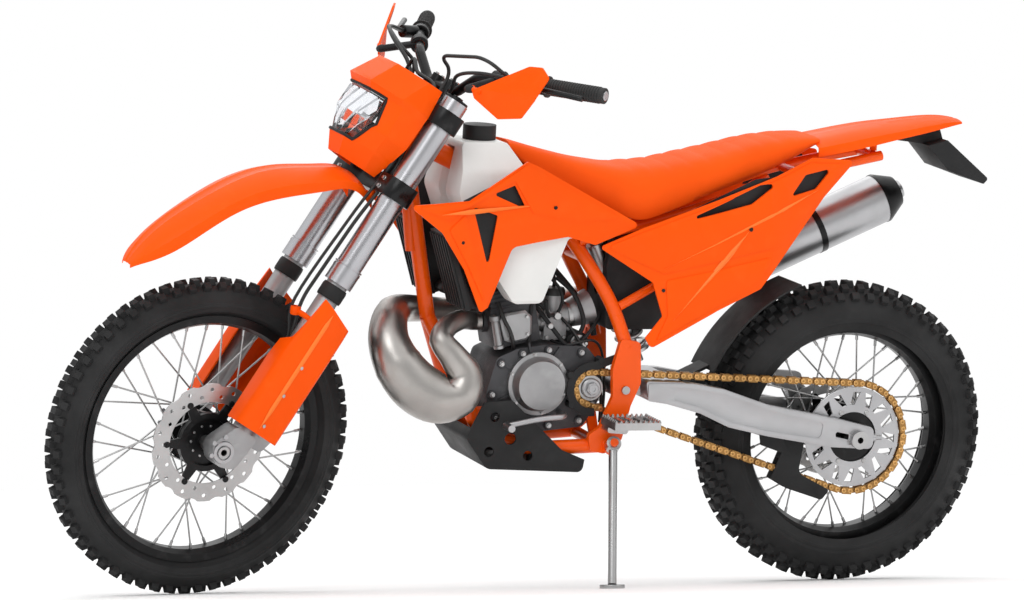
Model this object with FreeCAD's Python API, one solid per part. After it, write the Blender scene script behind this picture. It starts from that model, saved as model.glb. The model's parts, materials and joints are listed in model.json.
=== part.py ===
import FreeCAD, Part
import math
import os

V = FreeCAD.Vector

# Stance. The bike is drawn upright with x forward, y to its left and z up, and its rear tyre
# stands at x 0. It is then leaned over its side stand and set on its box's bottom centre.
LEAN = 11.0
STEER_REST = 10.0

# Wheels
FRONT_R = 350.0
FRONT_CROWN = 46.0
FRONT_BEAD_R = FRONT_R - 88.0
FRONT_RIM_HALF = 27.0
REAR_R = 340.0
REAR_CROWN = 72.0
REAR_BEAD_R = REAR_R - 108.0
REAR_RIM_HALF = 35.0
TREAD = 12.0
LUG_ROOT = 8.0
FRONT_LUGS = 60
REAR_LUGS = 54
RIM_FLANGE = 10.0
RIM_WALL = 4.0
SPOKE_COUNT = 36
SPOKE_R = 1.9
HUB_R = 24.0
FRONT_FLANGE_R = 62.0
REAR_FLANGE_R = 66.0
FRONT_HUB_HALF = 38.0
REAR_HUB_HALF = 42.0
FRONT_AXLE_R = 13.0
REAR_AXLE_R = 12.5
AXLE_BORE_R = 7.0
RUNNING = 0.05
SEAT_GAP = 0.3
FRONT_DISC_R = 130.0
REAR_DISC_R = 110.0
DISC_THICK = 3.0
FRONT_DISC_Y = 52.0
REAR_DISC_Y = -54.0

# Chain drive
PITCH = 15.875
REAR_TEETH = 48
FRONT_TEETH = 14
CHAIN_Y = 82.0
CHAIN_HALF_HEIGHT = 7.5
CHAIN_HALF_WIDTH = 8.0
SPROCKET_THICK = 5.0
CHAIN_GAP = 2.0
CHAIN_PLATE = 3.0
SPROCKET_WINDOWS = 16
FRONT_SPROCKET = V(630.0, 0.0, 455.0)

# Mouldings
FENDER_WALL = 3.5
SKIN = 4.0
RAISED = 2.5
LAMP_TOP = 126
MASK_STATIONS = ((-24, 148, 58), (18, 168, 86), (60, 176, 110), (128, 180, 113), (142, 194, 115),
                 (205, 156, 104))
LAMP_ROWS = ((18, 172, 46), (70, 184, 78), (LAMP_TOP, 184, 74))
LAMP_BACK = 120.0
LAMP_GAP = 0.7

# Steering head, fork and bars
RAKE = 32.0
HEAD = V(1090.0, 0.0, 905.0)
HEAD_TUBE_LOW = 8.0
HEAD_TUBE_HIGH = 128.0
HEAD_TUBE_R = 29.0
STEM_R = 16.0
CLAMP_OFFSET = 22.0
AXLE_LEAD = 24.0
FORK_HALF = 105.0
FORK_TUBE_R = 29.0
FORK_LEG_R = 24.0
FORK_TUBE_LOW = -258.0
FORK_TUBE_TOP = 205.0
LOWER_CLAMP = (-46.0, -2.0)
UPPER_CLAMP = (138.0, 178.0)
CLAMP_WALL = 11.0
BAR_R = 11.0
GRIP_R = 17.0
GRIP_LENGTH = 130.0
BAR_HALF = 405.0

# Frame, swingarm and engine
PIVOT = V(560.0, 0.0, 455.0)
PIVOT_TUBE_R = 22.0
PIVOT_BOLT_R = 9.0
PLATE_Y = 98.0
PLATE_THICK = 14.0
FRAME_TUBE_R = 16.0
DOWNTUBE_R = 17.0
RAIL_Y = 92.0
SUBFRAME_R = 11.0
ARM_LEFT = (96.0, 118.0)
ARM_RIGHT = (-112.0, -90.0)
ARM_POCKET = 3.0
CASE_HALF = 86.0
IGNITION = V(752.0, 0.0, 465.0)
IGNITION_R = 61.0
CYLINDER_TILT = 12.0

# Radiators
LOUVRES = 9
HOSE_R = 13.0
CABLE_R = 4.0

# Side stand
STAND_PIVOT = V(590.0, 134.0, 338.0)
STAND_FOOT_Y = 302.0
STAND_FOOT_X = 640.0
STAND_LEG_R = 9.5
STAND_KNUCKLE_R = 16.0
STAND_KNUCKLE_HALF = 12.0
STAND_PIN_R = 5.0
STAND_FOOT_R = 27.0
STAND_FOOT_THICK = 8.0
STAND_FOLDED = V(-0.97, 0.09, 0.1)


def rad(angle):
    return math.radians(angle)


SIN_LEAN = math.sin(rad(LEAN))
COS_LEAN = math.cos(rad(LEAN))
UP = V(0, -SIN_LEAN, COS_LEAN)
AXIS = V(-math.sin(rad(RAKE)), 0, math.cos(rad(RAKE)))
AHEAD = V(math.cos(rad(RAKE)), 0, math.sin(rad(RAKE)))
LEFT = V(0, 1, 0)
FLOOR = -REAR_CROWN * (1 - COS_LEAN)


def fork_reach():
    """distance from the lower clamp down the head axis that sets both tyres on one floor"""
    offset = CLAMP_OFFSET + AXLE_LEAD
    steer = rad(STEER_REST)
    axle_dir = LEFT * math.cos(steer) - AHEAD * math.sin(steer)
    axle_off = (AHEAD * math.cos(steer) + LEFT * math.sin(steer)) * offset
    core = (FRONT_R - FRONT_CROWN) * math.sqrt(1 - axle_dir.dot(UP) ** 2)
    height = (HEAD + axle_off).dot(UP) - core - FRONT_CROWN - FLOOR
    return height / AXIS.dot(UP)


REACH = fork_reach()


def front_lean():
    """how far the turned front wheel leans from upright"""
    axle_dir = LEFT * math.cos(rad(STEER_REST)) - AHEAD * math.sin(rad(STEER_REST))
    return math.asin(abs(axle_dir.dot(UP)))


def fork_point(along, ahead, side):
    """a point given up the head axis, ahead of it and to its left, from the lower clamp"""
    return HEAD + AXIS * along + AHEAD * ahead + LEFT * side


AXLE_AHEAD = CLAMP_OFFSET + AXLE_LEAD
FRONT_AXLE = fork_point(-REACH, AXLE_AHEAD, 0)
REAR_AXLE = V(0, 0, REAR_R)


def rod(start, end, radius):
    return Part.makeCylinder(radius, (end - start).Length, start, end - start)


def cone(start, end, radius_start, radius_end):
    return Part.makeCone(radius_start, radius_end, (end - start).Length, start, end - start)


def side_rod(x, z, y_low, y_high, radius):
    return rod(V(x, y_low, z), V(x, y_high, z), radius)


def fuse(shapes):
    return shapes[0].fuse(shapes[1:]).removeSplitter()


def mirrored(shape):
    return shape.mirror(V(0, 0, 0), V(0, 1, 0))


def both(shape):
    return Part.makeCompound([shape, mirrored(shape)])


def rounded_wire(corners, place):
    """closed wire through corners (u, v) or (u, v, radius), rounded by tangent arcs"""
    starts = []
    ends = []
    mids = []
    count = len(corners)
    for index, corner in enumerate(corners):
        here = V(corner[0], corner[1], 0)
        before = V(*corners[index - 1][:2], 0)
        after = V(*corners[(index + 1) % count][:2], 0)
        radius = corner[2] if len(corner) > 2 else 0.0
        if radius == 0:
            starts.append(here)
            ends.append(here)
            mids.append(None)
            continue
        back = (before - here).normalize()
        ahead = (after - here).normalize()
        half = back.getAngle(ahead) / 2
        bisector = (back + ahead).normalize()
        trim = radius / math.tan(half)
        starts.append(here + back * trim)
        ends.append(here + ahead * trim)
        mids.append(here + bisector * (radius / math.sin(half) - radius))
    edges = []
    for index in range(count):
        if mids[index] is not None:
            points = [place(p.x, p.y) for p in (starts[index], mids[index], ends[index])]
            edges.append(Part.Arc(*points).toShape())
        begin = place(ends[index].x, ends[index].y)
        nxt = starts[(index + 1) % count]
        finish = place(nxt.x, nxt.y)
        if begin.distanceToPoint(finish) > 1e-6:
            edges.append(Part.LineSegment(begin, finish).toShape())
    return Part.Wire(edges)


def side_plate(corners, y_low, y_high):
    """outline in x and z, as thick as from y_low to y_high"""
    wire = rounded_wire(corners, lambda u, v: V(u, y_low, v))
    return Part.Face(wire).extrude(V(0, y_high - y_low, 0))


def front_plate(corners, x_low, x_high):
    """outline in y and z, as long as from x_low to x_high"""
    wire = rounded_wire(corners, lambda u, v: V(x_low, u, v))
    return Part.Face(wire).extrude(V(x_high - x_low, 0, 0))


def top_plate(corners, z_low, z_high):
    """outline in x and y, as high as from z_low to z_high"""
    wire = rounded_wire(corners, lambda u, v: V(u, v, z_low))
    return Part.Face(wire).extrude(V(0, 0, z_high - z_low))


def fork_plate(corners, along_low, along_high):
    """outline ahead of and beside the head axis, from along_low to along_high"""
    wire = rounded_wire(corners, lambda u, v: fork_point(along_low, u, v))
    return Part.Face(wire).extrude(AXIS * (along_high - along_low))


def fork_side_plate(corners, side_low, side_high):
    """outline ahead of and up the head axis, from side_low to side_high"""
    wire = rounded_wire(corners, lambda u, v: fork_point(v, u, side_low))
    return Part.Face(wire).extrude(LEFT * (side_high - side_low))


def revolved(profile, centre):
    """outline of radius and y, turned about the y axis through the centre"""
    wire = rounded_wire(profile, lambda u, v: V(u, v, 0))
    ring = Part.Face(wire).revolve(V(0, 0, 0), LEFT, 360)
    ring.translate(centre)
    return ring


def bend_path(points, share=0.45):
    """straight runs joined by tangent arcs, each as large as its two runs allow"""
    edges = []
    at = points[0]
    for before, here, after in zip(points, points[1:], points[2:]):
        back = before - here
        ahead = after - here
        half = back.getAngle(ahead) / 2
        trim = share * min(back.Length, ahead.Length)
        radius = trim * math.tan(half)
        back.normalize()
        ahead.normalize()
        bisector = (back + ahead).normalize()
        start = here + back * trim
        end = here + ahead * trim
        mid = here + bisector * (radius / math.sin(half) - radius)
        edges.append(Part.LineSegment(at, start).toShape())
        edges.append(Part.Arc(start, mid, end).toShape())
        at = end
    edges.append(Part.LineSegment(at, points[-1]).toShape())
    return Part.Wire(edges)


def bent_tube(points, radius, share=0.45):
    path = bend_path(points, share)
    ring = Part.Wire(Part.makeCircle(radius, points[0], points[1] - points[0]))
    return path.makePipeShell([ring], True, False)


def section_loft(sections, smooth=True):
    """solid through closed sections of the same number of corners"""
    wires = [Part.makePolygon(points + points[:1]) for points in sections]
    return Part.makeLoft(wires, True, not smooth)


def trough_section(x, top, low, half, wall, ridge):
    """cross-section of a moulded fender: a flat ridge, sloping shoulders and side walls"""
    deep = top - low
    outer = [(half, low), (0.97 * half, top - 0.5 * deep), (0.66 * half, top - 0.2 * deep),
             (0.24 * half, top), (0.16 * half, top - ridge)]
    inner = [(0.14 * half, top - ridge - wall), (0.26 * half, top - wall - 1),
             (0.66 * half - 0.6 * wall, top - 0.2 * deep - wall), (0.97 * half - wall, top - 0.5 * deep),
             (half - wall, low)]
    line = outer[::-1]
    line = [(-y, z) for y, z in outer] + [(y, z) for y, z in line]
    back = [(y, z) for y, z in inner[::-1]] + [(-y, z) for y, z in inner]
    return [V(x, y, z) for y, z in line + back]


def cone_run(stations):
    """rolled cones end to end through circles (point, radius), square to the run"""
    wires = []
    last = len(stations) - 1
    for index, (point, radius) in enumerate(stations):
        before = stations[max(index - 1, 0)][0]
        after = stations[min(index + 1, last)][0]
        wires.append(Part.Wire(Part.makeCircle(radius, point, after - before)))
    cones = []
    for low, high in zip(wires, wires[1:]):
        cones.append(Part.makeLoft([low, high], True, True))
    return cones[0].fuse(cones[1:])


# Wheels, drawn round the origin with the axle along y


def tyre(outer_r, crown, bead_r, rim_half, lean, count, rows):
    """carcass of straight walls with rows (tilt, width, length, stagger) of lugs

    The wide middle lugs are cut down so that their leaning edge still meets the tyre's circle.
    """
    half = rim_half - RIM_WALL
    core = outer_r - crown
    base = crown - TREAD
    side = [(bead_r, half), (bead_r + RIM_FLANGE + 1.5, half), (core - 0.45 * crown, crown - 7),
            (core, crown - 3), (core + 0.6 * base, 0.88 * base), (core + 0.96 * base, 0.36 * base)]
    points = [V(r, -y, 0) for r, y in side] + [V(r, y, 0) for r, y in reversed(side)]
    carcass = Part.Face(Part.makePolygon(points + points[:1])).revolve(V(0, 0, 0), LEFT, 360)
    lugs = []
    for tilt, width, length, stagger in rows:
        top = crown
        if tilt == 0:
            top = (crown - math.sin(lean) * width / 2) / math.cos(lean)
        low = base - LUG_ROOT
        lug = Part.makeBox(length, width, top - low, V(-length / 2, -width / 2, low))
        lug.rotate(V(0, 0, 0), V(1, 0, 0), -tilt)
        lug.translate(V(0, 0, core))
        for index in range(count):
            turned = lug.copy()
            turned.rotate(V(0, 0, 0), LEFT, 360 * (index + stagger) / count)
            lugs.append(turned)
    return carcass.fuse(lugs)


def rim(bead_r, half):
    inner = bead_r - 14
    profile = [
        (inner, -half * 0.45, 3),
        (bead_r - 6, -half),
        (bead_r + RIM_FLANGE, -half),
        (bead_r + RIM_FLANGE, -half + RIM_WALL),
        (bead_r, -half + RIM_WALL),
        (bead_r, half - RIM_WALL),
        (bead_r + RIM_FLANGE, half - RIM_WALL),
        (bead_r + RIM_FLANGE, half),
        (bead_r - 6, half),
        (inner, half * 0.45, 3),
    ]
    return revolved(profile, V(0, 0, 0))


def hub(half, flange_r, axle_r):
    bore = axle_r + RUNNING
    profile = [
        (bore, -half),
        (HUB_R, -half),
        (HUB_R, -half + 4),
        (flange_r, -half + 6.5),
        (flange_r, -half + 9.5),
        (HUB_R, -half + 18, 4),
        (HUB_R, half - 18, 4),
        (flange_r, half - 9.5),
        (flange_r, half - 6.5),
        (HUB_R, half - 4),
        (HUB_R, half),
        (bore, half),
    ]
    return revolved(profile, V(0, 0, 0))


def spokes(flange_r, hub_half, rim_in):
    """crossed spokes from both hub flanges, out to the rim's well"""
    rods = []
    sweep = rad(58)
    for index in range(SPOKE_COUNT):
        side = 1 if index % 2 else -1
        lead = 1 if (index // 2) % 2 else -1
        step = 2 * math.pi / SPOKE_COUNT
        out_angle = step * index
        in_angle = out_angle + lead * sweep
        in_r = flange_r - 0.5
        in_y = side * (hub_half - 8 + lead * 3.9)
        out_y = side * (7 + lead * 3.5)
        start = V(in_r * math.cos(in_angle), in_y, in_r * math.sin(in_angle))
        end = V(rim_in * math.cos(out_angle), out_y, rim_in * math.sin(out_angle))
        rods.append(rod(start, end, SPOKE_R))
    return rods


def disc(radius, bore, y_centre, lobes):
    """waved brake ring with two rows of drilled holes"""
    low = V(0, y_centre - DISC_THICK / 2, 0)
    ring = Part.makeCylinder(radius, DISC_THICK, low, LEFT)
    cuts = [Part.makeCylinder(bore, DISC_THICK, low, LEFT)]
    wave_r = 26.0
    for index in range(lobes):
        for reach, hole_r, stagger in ((radius + wave_r - 5, wave_r, 0), (radius - 13, 4.5, 0.5),
                                       (bore + 12, 4.5, 0)):
            angle = 2 * math.pi * (index + stagger) / lobes
            at = low + V(reach * math.cos(angle), 0, reach * math.sin(angle))
            cuts.append(Part.makeCylinder(hole_r, DISC_THICK, at, LEFT))
    return ring.cut(cuts)


def disc_arms(inner_r, outer_r, y_low, y_high):
    """six tapered arms that carry a brake ring"""
    arms = []
    for index in range(6):
        arm = side_plate([(inner_r, -13), (outer_r, -7, 4), (outer_r, 7, 4), (inner_r, 13)],
                         y_low, y_high)
        arm.rotate(V(0, 0, 0), LEFT, 60 * index)
        arms.append(arm)
    return arms


def chain_pitch_r(teeth):
    return PITCH / (2 * math.sin(math.pi / teeth))


def sprocket(teeth, bore, y_centre, gap):
    root_r = chain_pitch_r(teeth) - CHAIN_HALF_HEIGHT - gap
    low = V(0, y_centre - SPROCKET_THICK / 2, 0)
    plate = Part.makeCylinder(root_r, SPROCKET_THICK, low, LEFT)
    return plate.cut(Part.makeCylinder(bore, SPROCKET_THICK, low, LEFT))


def sprocket_windows(inner_r, outer_r, y_low, y_high):
    """leaning windows that leave a lattice, alternately handed"""
    windows = []
    for index in range(SPROCKET_WINDOWS):
        lean = 5 if index % 2 else -5
        window = side_plate([(inner_r, lean - 5), (outer_r, -lean - 9), (outer_r, -lean + 9),
                             (inner_r, lean + 5)], y_low, y_high)
        window.rotate(V(0, 0, 0), LEFT, 360 * index / SPROCKET_WINDOWS)
        windows.append(window)
    return windows


def build_front_wheel():
    inner = FRONT_BEAD_R - 14
    parts = {
        "front_tyre": tyre(FRONT_R, FRONT_CROWN, FRONT_BEAD_R, FRONT_RIM_HALF, front_lean(),
                           FRONT_LUGS, [(0, 25, 14, 0), (38, 15, 16, 0.5), (-38, 15, 16, 0.5)]),
        "front_rim": rim(FRONT_BEAD_R, FRONT_RIM_HALF),
        "front_hub": hub(FRONT_HUB_HALF, FRONT_FLANGE_R, FRONT_AXLE_R),
        "front_spokes": Part.makeCompound(spokes(FRONT_FLANGE_R, FRONT_HUB_HALF, inner - 1)),
        "front_disc": disc(FRONT_DISC_R, FRONT_DISC_R - 40, FRONT_DISC_Y, 14),
    }
    disc_face = FRONT_DISC_Y - DISC_THICK / 2
    carrier = revolved([(52, FRONT_HUB_HALF), (64, FRONT_HUB_HALF), (64, disc_face),
                        (52, disc_face)], V(0, 0, 0))
    web = revolved([(HUB_R - 4, FRONT_HUB_HALF - 6), (60, FRONT_HUB_HALF - 6),
                    (60, FRONT_HUB_HALF + 2), (HUB_R - 4, FRONT_HUB_HALF + 2)], V(0, 0, 0))
    arms = disc_arms(56, FRONT_DISC_R - 29, disc_face - 5, disc_face)
    parts["front_hub"] = fuse([parts["front_hub"], carrier, web] + arms)
    for shape in parts.values():
        shape.translate(FRONT_AXLE)
    return parts


def build_rear_wheel():
    inner = REAR_BEAD_R - 14
    parts = {
        "rear_tyre": tyre(REAR_R, REAR_CROWN, REAR_BEAD_R, REAR_RIM_HALF, rad(LEAN), REAR_LUGS,
                          [(0, 34, 16, 0), (29, 18, 17, 0.5), (-29, 18, 17, 0.5), (51, 17, 18, 0),
                           (-51, 17, 18, 0)]),
        "rear_rim": rim(REAR_BEAD_R, REAR_RIM_HALF),
        "rear_hub": hub(REAR_HUB_HALF, REAR_FLANGE_R, REAR_AXLE_R),
        "rear_spokes": Part.makeCompound(spokes(REAR_FLANGE_R, REAR_HUB_HALF, inner - 1)),
        "rear_disc": disc(REAR_DISC_R, REAR_DISC_R - 36, REAR_DISC_Y, 12),
        "rear_sprocket": sprocket(REAR_TEETH, 56, CHAIN_Y, CHAIN_GAP).cut(
            sprocket_windows(72, chain_pitch_r(REAR_TEETH) - 20, CHAIN_Y - 5, CHAIN_Y + 5)),
    }
    flange_y = REAR_HUB_HALF - 7
    disc_face = REAR_DISC_Y + DISC_THICK / 2
    sprocket_face = CHAIN_Y - SPROCKET_THICK / 2
    parts["rear_hub"] = fuse([
        parts["rear_hub"],
        revolved([(46, disc_face), (60, disc_face), (60, -flange_y), (46, -flange_y)], V(0, 0, 0)),
        revolved([(42, flange_y), (54, flange_y), (54, sprocket_face - 8), (66, sprocket_face - 8),
                  (66, sprocket_face), (26, sprocket_face), (26, sprocket_face - 8),
                  (42, sprocket_face - 8)], V(0, 0, 0)),
    ] + disc_arms(50, REAR_DISC_R - 27, disc_face, disc_face + 5))
    for shape in parts.values():
        shape.translate(REAR_AXLE)
    return parts


# Chassis


def main_frame(case):
    head_low = fork_point(HEAD_TUBE_LOW, 0, 0)
    head_high = fork_point(HEAD_TUBE_HIGH, 0, 0)
    spine_front = fork_point(96, 0, 0)
    down_top = fork_point(30, -34, 0)
    solids = [rod(head_low, head_high, HEAD_TUBE_R)]
    spine = [spine_front, V(930, 0, 935), V(800, 0, 880), V(690, 0, 800)]
    solids.append(bent_tube(spine, 22))
    split = V(985, 0, 600)
    solids.append(rod(down_top, split, DOWNTUBE_R))
    solids.append(rod(fork_point(60, 0, 0), V(1030, 0, 745), 13))
    for side in (1, -1):
        rail = [
            split + V(0, side * 4, 0),
            V(925, side * 52, 470),
            V(872, side * 62, 345),
            V(760, side * 80, 322),
            V(600, side * RAIL_Y, 330),
        ]
        solids.append(bent_tube(rail, FRAME_TUBE_R))
        upper = [V(700, side * 14, 812), V(640, side * 68, 720), V(588, side * 76, 640),
                 V(556, side * 99, 545)]
        solids.append(bent_tube(upper, FRAME_TUBE_R - 1))
        plate = [
            (530, 560, 10), (575, 568, 10), (592, 500, 14), (588, 440, 14), (615, 372, 12),
            (640, 356, 8), (634, 322, 8), (600, 314, 14), (562, 345, 12), (545, 420, 14),
            (524, 470, 12),
        ]
        inner = side * (PLATE_Y + PLATE_THICK / 2) - PLATE_THICK / 2
        solids.append(side_plate(plate, inner, inner + PLATE_THICK))
        front_tab = [(846, 388), (900, 388), (904, 412), (846, 412)]
        rear_tab = [(592, 326), (612, 326), (632, 404), (608, 404)]
        for tab in (front_tab, rear_tab):
            inner = side * 60 - 5
            solids.append(side_plate(tab, inner, inner + 10).cut(case))
    solids.append(side_rod(688, 806, -20, 20, 20))
    solids.append(side_rod(600, 330, -RAIL_Y, RAIL_Y, 13))
    solids.append(side_rod(650, 738, -62, 62, 12))
    solids.extend(stand_bracket())
    frame = solids[0].fuse(solids[1:])
    bores = [
        rod(fork_point(HEAD_TUBE_LOW - 5, 0, 0), fork_point(HEAD_TUBE_HIGH + 5, 0, 0),
            STEM_R + RUNNING),
        rod(V(PIVOT.x, -200, PIVOT.z), V(PIVOT.x, 200, PIVOT.z), PIVOT_BOLT_R),
    ]
    return frame.cut(bores)


def subframe(frame):
    solids = []
    for side in (1, -1):
        top = [V(664, side * 50, 773), V(420, side * 70, 839.8), V(150, side * 66, 928.8),
               V(-40, side * 52, 966)]
        low = [V(574, side * 82, 634), V(420, side * 80, 720), V(180, side * 68, 906)]
        solids.append(bent_tube(top, SUBFRAME_R))
        solids.append(bent_tube(low, SUBFRAME_R - 1))
    solids.append(side_rod(150, 925, -66, 66, SUBFRAME_R - 1))
    solids.append(side_rod(-30, 964, -53, 53, SUBFRAME_R - 1))
    solids.append(side_rod(480, 820, -65, 65, SUBFRAME_R - 1))
    return fuse(solids).cut(frame)


def skid_plate(frame):
    outer = [
        (884, 430), (922, 352, 12), (872, 284, 22), (650, 274, 14), (646, 302), (700, 324),
        (752, 372), (820, 434, 8),
    ]
    shell = side_plate(outer, -112, 112)
    inner = [
        (915, 440), (910, 356, 10), (868, 290, 18), (620, 280), (620, 320), (690, 440),
    ]
    holes = [side_rod(x, z, -120, 120, radius)
             for x, z, radius in ((858, 398, 11), (820, 350, 13), (778, 312, 11), (868, 322, 11))]
    bosses = [rod(V(760, side * 80, 282), V(760, side * 80, 318), 9) for side in (1, -1)]
    return fuse([shell.cut([side_plate(inner, -107, 107)] + holes)] + bosses).cut(frame)


def crankcase():
    case = [
        (606, 425, 20), (640, 368, 18), (800, 352, 18), (850, 372, 20), (868, 440, 24),
        (846, 520, 16), (800, 540), (740, 548), (640, 545, 20), (600, 500, 18),
    ]
    return side_plate(case, -CASE_HALF, CASE_HALF - 14)


def engine_covers():
    y = CASE_HALF - 14
    low = V(IGNITION.x, y, IGNITION.z)
    cover = Part.makeCylinder(IGNITION_R + 8, 12, low, LEFT)
    cap = Part.makeCone(IGNITION_R, IGNITION_R - 8, 26, low + V(0, 10, 0), LEFT)
    clutch_low = V(IGNITION.x - 20, -CASE_HALF, IGNITION.z)
    clutch = Part.makeCylinder(80, 26, clutch_low, V(0, -1, 0))
    return Part.makeCompound([cover.fuse(cap), clutch])


def cylinder():
    base = V(790, 0, 538)
    tilt = V(math.sin(rad(CYLINDER_TILT)), 0, math.cos(rad(CYLINDER_TILT)))
    solids = []
    block = Part.makeBox(104, 108, 84, V(-52, -54, 0))
    head = Part.makeBox(96, 100, 40, V(-48, -50, 83))
    plug = Part.makeCylinder(9, 34, V(0, 0, 120))
    for solid in (block, head, plug):
        solids.append(solid)
    barrel = fuse(solids)
    barrel.rotate(V(0, 0, 0), LEFT, CYLINDER_TILT)
    barrel.translate(base + tilt * 10)
    return fuse([barrel, rod(V(800, 0, 590), V(862, 0, 590), 24)])


def carburettor(barrel):
    throat = rod(V(756, 0, 589), V(655, 0, 606), 27)
    bowl = Part.makeBox(52, 52, 44, V(672, -26, 552))
    top = rod(V(697, 0, 600), V(697, 0, 660), 24)
    boot = cone(V(658, 0, 606), V(612, 0, 622), 30, 40)
    return fuse([throat, bowl, top, boot]).cut(barrel)


def air_box():
    outline = [
        (598, 724, 10), (594, 580, 10), (480, 580, 18), (410, 640, 20), (390, 740, 20),
        (480, 790, 10), (590, 778, 10),
    ]
    box = side_plate(outline, -60, 60)
    return box.cut(rod(V(480, 0, 482), V(620, 0, 792), 37))


def expansion_chamber():
    stations = [
        (V(862.3, 0, 590), 20), (V(882, 0, 590), 20), (V(902, 16, 595), 21), (V(928, 48, 600), 22),
        (V(968, 82, 590), 23), (V(988, 106, 566), 26), (V(962, 118, 530), 31),
        (V(938, 123, 492), 39), (V(950, 124, 452), 48), (V(994, 112, 442), 56),
        (V(1040, 98, 466), 57), (V(1076, 84, 510), 52), (V(1092, 64, 556), 45),
        (V(1084, 34, 592), 40), (V(1062, -4, 608), 36), (V(1028, -48, 610), 31),
        (V(968, -80, 604), 28), (V(890, -92, 600), 26), (V(760, -94, 604), 23),
        (V(660, -104, 614), 21), (V(600, -116, 628), 20), (V(480, -116, 646), 20),
        (V(360, -116, 658), 21), (V(262, -127, 673.6), 24), (V(236.4, -127.7, 685), 26),
    ]
    return cone_run(stations)


def silencer_room():
    begin = V(212, -128, 696)
    along = (V(-150, -132, 855.5) - begin).normalize()
    can = rod(begin - along * 60, begin + along * 440, 60)
    return can.fuse(rod(V(540, -116, 634), V(230, -127, 688), 31))


def silencer():
    begin = V(212, -128, 696)
    along = (V(-150, -132, 855.5) - begin).normalize()
    can = rod(begin, begin + along * 372, 56)
    cap = cone(begin + along * 372, begin + along * 412, 56, 34)
    nose = cone(begin, begin - along * 26, 56, 30)
    pipe = rod(begin + along * 405, begin + along * 424, 20)
    return fuse([can, cap, nose, pipe])


def radiators():
    outline = [(999, 802), (963, 812), (912, 652), (948, 642)]
    block = side_plate(outline, 62, 168)
    return both(block)


def radiator_guards():
    outline = [(1010, 801), (999.6, 803), (948, 641), (959, 639)]
    frame = side_plate(outline, 60, 170)
    frame = frame.cut(side_plate([(1020, 790), (990, 790), (940, 652), (970, 652)], 67, 163))
    slats = []
    for index in range(LOUVRES):
        low = 655 + 134 * index / LOUVRES
        front = 959 + (low - 639) * (1010 - 959) / (801 - 639)
        slats.append(side_plate([(front - 9.5, low), (front - 0.5, low + 7), (front - 0.5, low + 9.5),
                                 (front - 9.5, low + 2.5)], 64, 166))
    return both(fuse([frame] + slats))


def coolant_hoses(barrel):
    """a hose from each radiator's inner end to the cylinder"""
    hose = bent_tube([V(936, 62, 658), V(936, 30, 658), V(846, 26, 640)], HOSE_R)
    return both(hose.cut(barrel))


def fuel_tank():
    side = [
        (948, 988, 14), (846, 988, 8), (818, 944), (704, 880, 20), (668, 800, 20),
        (720, 790, 10), (775, 650, 16), (838, 648, 20), (905, 740, 40), (968, 880, 30),
    ]
    section = [
        (-52, 1000, 30), (52, 1000, 30), (104, 930, 50), (132, 820, 40), (138, 640, 20),
        (84, 640, 20), (70, 800, 20), (40, 860, 24), (-40, 860, 24), (-70, 800, 20),
        (-84, 640, 20), (-138, 640, 20), (-132, 820, 40), (-104, 930, 50),
    ]
    spine_room = side_plate([(660, 640), (660, 822), (690, 852), (800, 922), (935, 974),
                             (1010, 974), (1010, 640)], -22.3, 22.3)
    tank = side_plate(side, -145, 145).common(front_plate(section, 640, 1000))
    return tank.cut(spine_room)


def tank_cap():
    return rod(V(888, 0, 988.3), V(888, 0, 1020), 36)


def curved_skin(band, z_low, z_high, proud=0.0):
    """sheet that follows a line (x, y) seen from above, or stands proud of it"""
    outer = [(x, y + proud) for x, y in band]
    inner = [(x, y + proud - SKIN) for x, y in reversed(band)]
    return top_plate(outer + inner, z_low, z_high)


def shroud_half(tank):
    outline = [
        (1111, 870, 6), (971, 879), (832, 960, 6), (804, 949), (551, 819, 8), (658, 777, 10),
        (725, 796), (859, 776, 20), (913, 648), (931, 637, 6), (974, 730, 30), (1031, 811),
    ]
    blade = [
        (1098, 867, 4), (969, 875), (832, 954, 6), (806, 943), (596, 834, 6), (700, 828),
        (812, 848, 8), (862, 920, 8), (966, 868, 6), (1016, 838),
    ]
    spear = [(1016, 818, 8), (978, 850, 6), (930, 700, 6), (926, 664), (967, 740, 26)]
    band = [(1120, 206), (1040, 200), (930, 182), (800, 152), (640, 134), (540, 128)]
    windows = [
        side_plate([(914, 892, 4), (861, 910, 4), (829, 857, 4)], 100, 240),
        side_plate([(961, 866, 4), (900, 846, 4), (918, 734, 4)], 100, 240),
    ]
    panel = side_plate(outline, 100, 240).common(curved_skin(band, 600, 1000))
    raised = curved_skin(band, 600, 1000, RAISED)
    layers = [side_plate(form, 100, 240).common(raised) for form in (blade, spear)]
    panel = fuse([panel] + layers).cut(windows)
    bosses = [side_rod(982, 790, 168, 186, 8), side_rod(760, 860, 110, 145, 9).cut(tank)]
    return fuse([panel] + bosses)


def shrouds(tank):
    return both(shroud_half(tank))


def seat():
    side = [
        (838, 994, 8), (755, 970), (673, 950, 60), (579, 936, 60), (480, 942, 60),
        (356, 971, 60), (250, 997, 60), (155, 1009, 10), (132, 1000, 6), (158, 972, 10),
        (243, 933), (387, 880), (529, 822, 12), (556, 822, 12), (700, 884), (815, 950),
    ]
    top = [
        (845, -48, 20), (845, 48, 20), (700, 76, 60), (556, 112, 60), (420, 116, 80),
        (240, 100, 60), (120, 78, 30), (120, -78, 30), (240, -100, 60), (420, -116, 80),
        (556, -112, 60), (700, -76, 60),
    ]
    return side_plate(side, -130, 130).common(top_plate(top, 800, 1020))


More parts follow.
